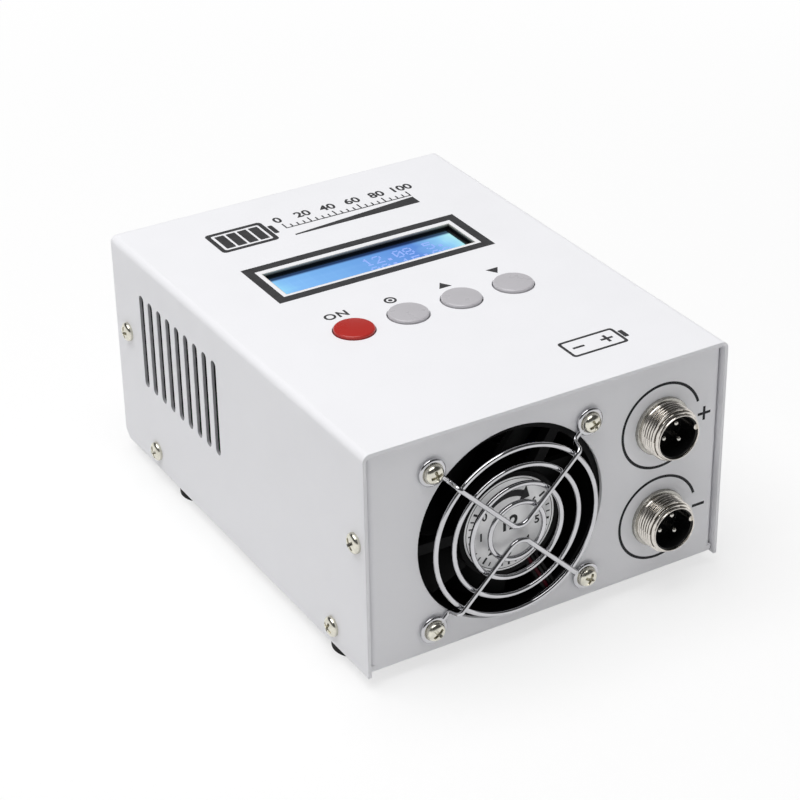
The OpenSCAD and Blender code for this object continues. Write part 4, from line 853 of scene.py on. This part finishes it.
# Feet
def moulded_feet():
    """Rubber feet with a rounded lower edge and a recess for the screw."""
    cad_r, height, top_r, low_r, recess_r, recess_h, hole_r = 6.2, 4.0, 6.95, 6.92, 3.1, 2.2, 1.55
    edge = 0.2
    profile = [
        (hole_r, height), (top_r - edge, height), (top_r, height - edge), (low_r, 0.5),
        (low_r - 0.06, 0.22), (low_r - 0.18, 0.07), (low_r - 0.36, 0.0),
        (recess_r + edge, 0.0), (recess_r, edge), (recess_r, recess_h), (hole_r, recess_h),
    ]
    low, high = span("rubber_feet")
    parts = []
    for x in (low.x + cad_r, high.x - cad_r):
        for y in (low.y + cad_r, high.y - cad_r):
            foot = turned(profile, 64)
            foot.transform(shifted(x, y, 0))
            parts.append(foot)
    piece = add_piece("moulded_feet", joined(parts), "case", FINISH["rubber"], smooth=30)
    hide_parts("rubber_feet")


# Threaded sockets, with heights from the front panel
CREST_R = 8.0
ROOT_R = 7.4
THREAD_PITCH = 1.0
POINTS_PER_TURN = 10
BORE_R = 6.5
BARREL_LOW = -9.0
RIM_H = 8.4
RIM_CHAMFER = 1.2
RIM_TAPER = 2.0
FLANGE_R = 8.8
FLANGE_T = 1.2
KEY_RIB_R = 0.9
KEY_RIB_ANGLE = 12.0
KEY_RIB_LOW = 1.0
KEY_RIB_L = 6.7


def clamped(value):
    """The value, held between zero and one."""
    return min(1.0, max(0.0, value))


def crest_at(h):
    """Radius of the thread's crest, which tapers towards the rim."""
    return min(CREST_R, CREST_R - RIM_CHAMFER + (RIM_H - h) * RIM_CHAMFER / RIM_TAPER)


def thread_r(angle, h):
    """Radius of the threaded surface, whose groove runs out at the flange and the rim."""
    groove_share, run_out, flange_run, rim_run = 0.8, 0.5, 0.8, 0.5
    phase = (h / THREAD_PITCH - angle / (2 * math.pi)) % 1.0
    groove = max(0.0, 1.0 - abs(2 * phase - 1.0) / groove_share)
    share = clamped((h - FLANGE_T - run_out) / flange_run) if h > 0 else 1.0
    share *= clamped((crest_at(h) - CREST_R + RIM_CHAMFER) / rim_run)
    return crest_at(h) - (CREST_R - ROOT_R) * groove * share


def barrel_profile():
    """Closed profile of a barrel: bore, rear thread, flange, front thread and rim."""
    rear_start, rear_spare, front_start, front_spare = 0.3, 0.6, 0.25, 0.3
    rear_edge, lead_in, rear_plain = 0.2, 0.5, 0.4
    profile = [(BORE_R, RIM_H - 0.12), (BORE_R, BARREL_LOW + rear_edge)]
    profile += [(BORE_R + rear_edge, BARREL_LOW), (CREST_R - lead_in, BARREL_LOW)]
    steps = int((-BARREL_LOW - rear_plain) / THREAD_PITCH * POINTS_PER_TURN)
    rear_l = -BARREL_LOW - rear_spare
    profile += [(thread_r, BARREL_LOW + rear_start + rear_l * i / steps) for i in range(steps + 1)]
    profile += [(FLANGE_R - 0.1, 0.0), (FLANGE_R, 0.1), (FLANGE_R, FLANGE_T - 0.25)]
    profile += [(FLANGE_R - 0.08, FLANGE_T - 0.08), (FLANGE_R - 0.25, FLANGE_T), (CREST_R, FLANGE_T + 0.05)]
    front_l = RIM_H - FLANGE_T - front_spare
    steps = int(front_l / THREAD_PITCH * POINTS_PER_TURN)
    profile += [(thread_r, FLANGE_T + front_start + front_l * i / steps) for i in range(steps)]
    rim_r = CREST_R - RIM_CHAMFER
    return profile + [(rim_r + 0.04, RIM_H - 0.02), (rim_r - 0.06, RIM_H), (BORE_R + 0.14, RIM_H)]


def key_rib():
    """The rib in the bore that keys the plug: the part of a rod that stands inside the bore."""
    sunk = 0.1
    x, y = on_circle(BORE_R, math.radians(KEY_RIB_ANGLE))
    rib = [point for point in disc(KEY_RIB_R, x, y, 96) if math.hypot(*point) < BORE_R + sunk]
    start = max(range(len(rib)), key=lambda i: math.dist(rib[i], rib[i - 1]))
    mesh = flat_mesh([rib[start:] + rib[:start]], KEY_RIB_L)
    mesh.transform(shifted(0, 0, KEY_RIB_LOW))
    return mesh


def socket_barrel(name, z):
    """Nickel barrel with a real thread, flange, chamfered rim, bore and key rib, with painted shade on the
    flange and in the thread's grooves.
    """
    mesh = joined([turned(barrel_profile(), 128), key_rib()])
    piece = add_piece(name + "_socket_barrel", mesh, "case",
                      FINISH["shell_nickel"], on_front(SOCKET_X, z), smooth=38)
    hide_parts(name + "_socket_shell")
    piece.data.materials.append(SATIN_NICKEL_PAINTED_SHADE)
    piece.data.materials.append(THREAD_SHADE)
    satin, shaded = 1, 2
    groove_depth, rim_room = 0.3, 0.3
    for face in piece.data.polygons:
        centre = face.center / MM
        r = math.hypot(centre.x - SOCKET_X, centre.z - z)
        h = PANEL_Y - centre.y
        # Flange faces take the darker nickel and groove faces the thread's shade, both painted shade.
        if r > CREST_R + 0.02:
            face.material_index = satin
        elif FLANGE_T < h < RIM_H - rim_room and BORE_R + 0.15 < r < crest_at(h) - groove_depth:
            face.material_index = shaded


# Screws
def pan_screw(head_r, head_h, length):
    """Domed pan head seated on z = 0, and its shank below."""
    edge, end_chamfer, bulge, steps, count = 0.08, 0.3, 0.8, 10, 48
    edge_h = head_h * 0.3
    profile = [(0.0, -length), (M3_R - end_chamfer, -length), (M3_R, -length + end_chamfer), (M3_R, 0.0)]
    profile += [(head_r - edge, 0.0), (head_r, edge)]
    for i in range(steps):
        angle = math.pi / 2 * i / steps
        profile.append((head_r * math.cos(angle) ** bulge, edge_h + (head_h - edge_h) * math.sin(angle)))
    profile.append((0.0, head_h))
    bm = bmesh.new()
    rings = []
    for r, h in profile:
        points = disc(r, steps=count) if r else [(0.0, 0.0)]
        rings.append([bm.verts.new((x, y, h)) for x, y in points])
    for low, high in zip(rings, rings[1:]):
        for i in range(count):
            j = (i + 1) % count
            corners = [low[i % len(low)], low[j % len(low)], high[j % len(high)], high[i % len(high)]]
            bm.faces.new(list(dict.fromkeys(corners)))
    bmesh.ops.recalc_face_normals(bm, faces=bm.faces)
    return mesh_of(bm, "screw")


def cross_cutter(head_r, head_h):
    """A cross whose wings get shorter and thinner downwards."""
    bm = bmesh.new()
    top = (head_h + 0.5, head_r * 0.8, 0.52)
    bottom = (head_h - 1.5, head_r * 0.32, 0.3)
    loops = []
    for h, reach, half in (top, bottom):
        loops.append([bm.verts.new((x, y, h)) for x, y in plus_loop(0, 0, reach, half)])
    over, under = loops
    for i in range(len(over)):
        j = (i + 1) % len(over)
        bm.faces.new((over[i], over[j], under[j], under[i]))
    for loop in loops:
        bm.faces.new(loop)
    bmesh.ops.triangulate(bm, faces=[face for face in bm.faces if len(face.verts) > 4])
    bmesh.ops.recalc_face_normals(bm, faces=bm.faces)
    return mesh_of(bm, "cross")


def cut_by(mesh, cutter_mesh):
    """The mesh with the cutter taken out of it."""
    collection = bpy.context.scene.collection
    base = bpy.data.objects.new("base", mesh)
    cutter = bpy.data.objects.new("cutter", cutter_mesh)
    collection.objects.link(base)
    collection.objects.link(cutter)
    cut = base.modifiers.new("cut", "BOOLEAN")
    cut.operation = "DIFFERENCE"
    cut.solver = "EXACT"
    cut.object = cutter
    bpy.context.view_layer.update()
    made = bpy.data.meshes.new_from_object(base.evaluated_get(bpy.context.evaluated_depsgraph_get()))
    bpy.data.objects.remove(base)
    bpy.data.objects.remove(cutter)
    bpy.data.meshes.remove(mesh)
    bpy.data.meshes.remove(cutter_mesh)
    return made


def screws(name, node_name, head_r, head_h, length, places):
    """Screws with a cross recess, one at each place, which stand for a CAD node of screws."""
    master = cut_by(pan_screw(head_r, head_h, length), cross_cutter(head_r, head_h))
    parts = []
    for place in places:
        copy = master.copy()
        copy.transform(place)
        parts.append(copy)
    bpy.data.meshes.remove(master)
    piece = add_piece(name, joined(parts), "case", FINISH["nickel_steel"], smooth=35)
    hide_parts(node_name)


def case_screws():
    """The four screws of the fan and the eight of the cover, each with its own turn of the cross."""
    turns = (38, 12, 64, 25)
    low, high = span("fan_screws")
    cad_head_r, cad_head_h = 2.8, 2.2
    seat_h = PANEL_Y - low.y - cad_head_h
    corners = [(x, z) for x in (low.x + cad_head_r, high.x - cad_head_r)
               for z in (low.z + cad_head_r, high.z - cad_head_r)]
    places = [on_front(x, z, seat_h) @ turned_by(turn) for (x, z), turn in zip(corners, turns)]
    screws("fan_screw_heads", "fan_screws", 2.85, 2.5, high.y - low.y - cad_head_h, places)
    places = []
    for side in (-1, 1):
        for (y, z), turn in zip(COVER_SCREWS_YZ, turns):
            places.append(shifted(side * SIDE_X, y, z) @ turned_by(90 * side, "Y") @ turned_by(turn))
    head_h = span("cover_screws")[1].x - SIDE_X
    screws("cover_screw_heads", "cover_screws", 3.0, head_h, 5.0, places)


# Light, floor and camera
def seen_rays(tree):
    """One for the rays that show the background: from the camera, off metal and through glass."""
    path = tree.nodes.new("ShaderNodeLightPath")
    most = path.outputs["Is Camera Ray"]
    for kind in ("Is Glossy Ray", "Is Transmission Ray"):
        either = tree.nodes.new("ShaderNodeMath")
        either.operation = "MAXIMUM"
        tree.links.new(most, either.inputs[0])
        tree.links.new(path.outputs[kind], either.inputs[1])
        most = either.outputs[0]
    return most


def mixed_shaders(tree, share, first, second, out):
    """Sends the first shader out at share 0, the second at 1."""
    mix = tree.nodes.new("ShaderNodeMixShader")
    for target, source in zip(mix.inputs, (share, first, second)):
        tree.links.new(source, target)
    tree.links.new(mix.outputs[0], out.inputs["Surface"])


def grey(level):
    """A plain linear grey."""
    return (level, level, level, 1.0)


def stage():
    """A plain white floor that keeps the object's shadow, and fades into the white room."""
    reach = 6.0
    mesh = bpy.data.meshes.new("floor")
    corners = [(x, y, 0) for x, y in rectangle(-reach, reach, -reach, reach)]
    mesh.from_pydata(corners, [], [(0, 1, 2, 3)])
    floor = bpy.data.objects.new("floor", mesh)
    bpy.context.scene.collection.objects.link(floor)
    look = Shader("floor_white", 0.9, specular=0.1)
    seen = seen_rays(look.tree)
    bounced, shown, vary, patch_mm = grey(0.82), grey(0.95), 0.004, 400
    look.paint(look.mixed(seen, look.patchy(bounced, vary, patch_mm), look.patchy(shown, vary, patch_mm)))
    away = look.node("ShaderNodeVectorMath")
    away.operation = "LENGTH"
    look.link(look.place, away.inputs[0])
    near, far, near_share = 0.12, 0.5, 0.66
    fade = look.between(away.outputs["Value"], near, far, near_share, 1.0)
    white = look.node("ShaderNodeEmission")
    share = look.math("MULTIPLY", seen, fade)
    mixed_shaders(look.tree, share, look.bsdf.outputs[0], white.outputs[0], look.out)
    mesh.materials.append(look.material)


def overhead_box():
    """A large soft box overhead, towards the left side."""
    place, aim = Vector((-0.3, 0.05, 1.28)), Vector((0, 0, 0.04))
    size, watts = 1.1, 14.8
    data = bpy.data.lights.new("overhead_box", "AREA")
    data.shape = "RECTANGLE"
    data.size = size
    data.size_y = size
    data.energy = watts
    obj = bpy.data.objects.new("overhead_box", data)
    obj.location = place
    obj.rotation_euler = (aim - place).to_track_quat("-Z", "Y").to_euler()
    bpy.context.scene.collection.objects.link(obj)


def room():
    """An even fill, and for the rays that show the room a white that darkens upwards."""
    white_until, dim_from, dim_level, fill_level = 0.14, 0.3, 0.07, 0.34
    world = bpy.data.worlds.new("room")
    world.use_nodes = True
    tree = world.node_tree
    tree.nodes.clear()
    out = tree.nodes.new("ShaderNodeOutputWorld")
    place = tree.nodes.new("ShaderNodeTexCoord")
    split = tree.nodes.new("ShaderNodeSeparateXYZ")
    tree.links.new(place.outputs["Generated"], split.inputs[0])
    ramp = tree.nodes.new("ShaderNodeValToRGB")
    stops = ((white_until, 1.0), (dim_from, dim_level))
    for element, (position, level) in zip(ramp.color_ramp.elements, stops):
        element.position = position
        element.color = grey(level)
    tree.links.new(split.outputs["Z"], ramp.inputs["Fac"])
    seen = tree.nodes.new("ShaderNodeBackground")
    tree.links.new(ramp.outputs["Color"], seen.inputs["Color"])
    fill = tree.nodes.new("ShaderNodeBackground")
    fill.inputs["Color"].default_value = grey(fill_level)
    mixed_shaders(tree, seen_rays(tree), fill.outputs[0], seen.outputs[0], out)
    bpy.context.scene.world = world


def camera():
    """The photograph's viewpoint."""
    azimuth, elevation, roll = math.radians(-30.176), math.radians(29.637), math.radians(-1.039)
    place = Vector((-0.3096, -0.5252, 0.3843))
    level = math.cos(elevation)
    back = Vector((math.sin(azimuth) * level, -math.cos(azimuth) * level, math.sin(elevation)))
    right = (-back).cross(Vector((0, 0, 1))).normalized()
    up = right.cross(-back)
    side = right * math.cos(roll) + up * math.sin(roll)
    above = -right * math.sin(roll) + up * math.cos(roll)
    data = bpy.data.cameras.new("photo_view")
    data.lens = 106.2
    data.sensor_width = 36.0
    data.clip_start = 0.02
    data.clip_end = 60.0
    obj = bpy.data.objects.new("photo_view", data)
    obj.matrix_world = Matrix.Translation(place) @ Matrix((side, above, back)).transposed().to_4x4()
    bpy.context.scene.collection.objects.link(obj)
    bpy.context.scene.camera = obj


display_frame()
key_marks()
battery_mark()
capacity_scale()
polarity_mark()
socket_marks()
label_marks()
window_lip()
moulded_feet()
display_text()
case_screws()
for side, height in SOCKET_ZS.items():
    socket_barrel(side, height)
stage()
overhead_box()
room()
camera()

bpy.context.scene.view_settings.view_transform = "Standard"
for spare in ("Cube", "Light", "Camera"):
    if spare in bpy.data.objects:
        bpy.data.objects.remove(bpy.data.objects[spare])
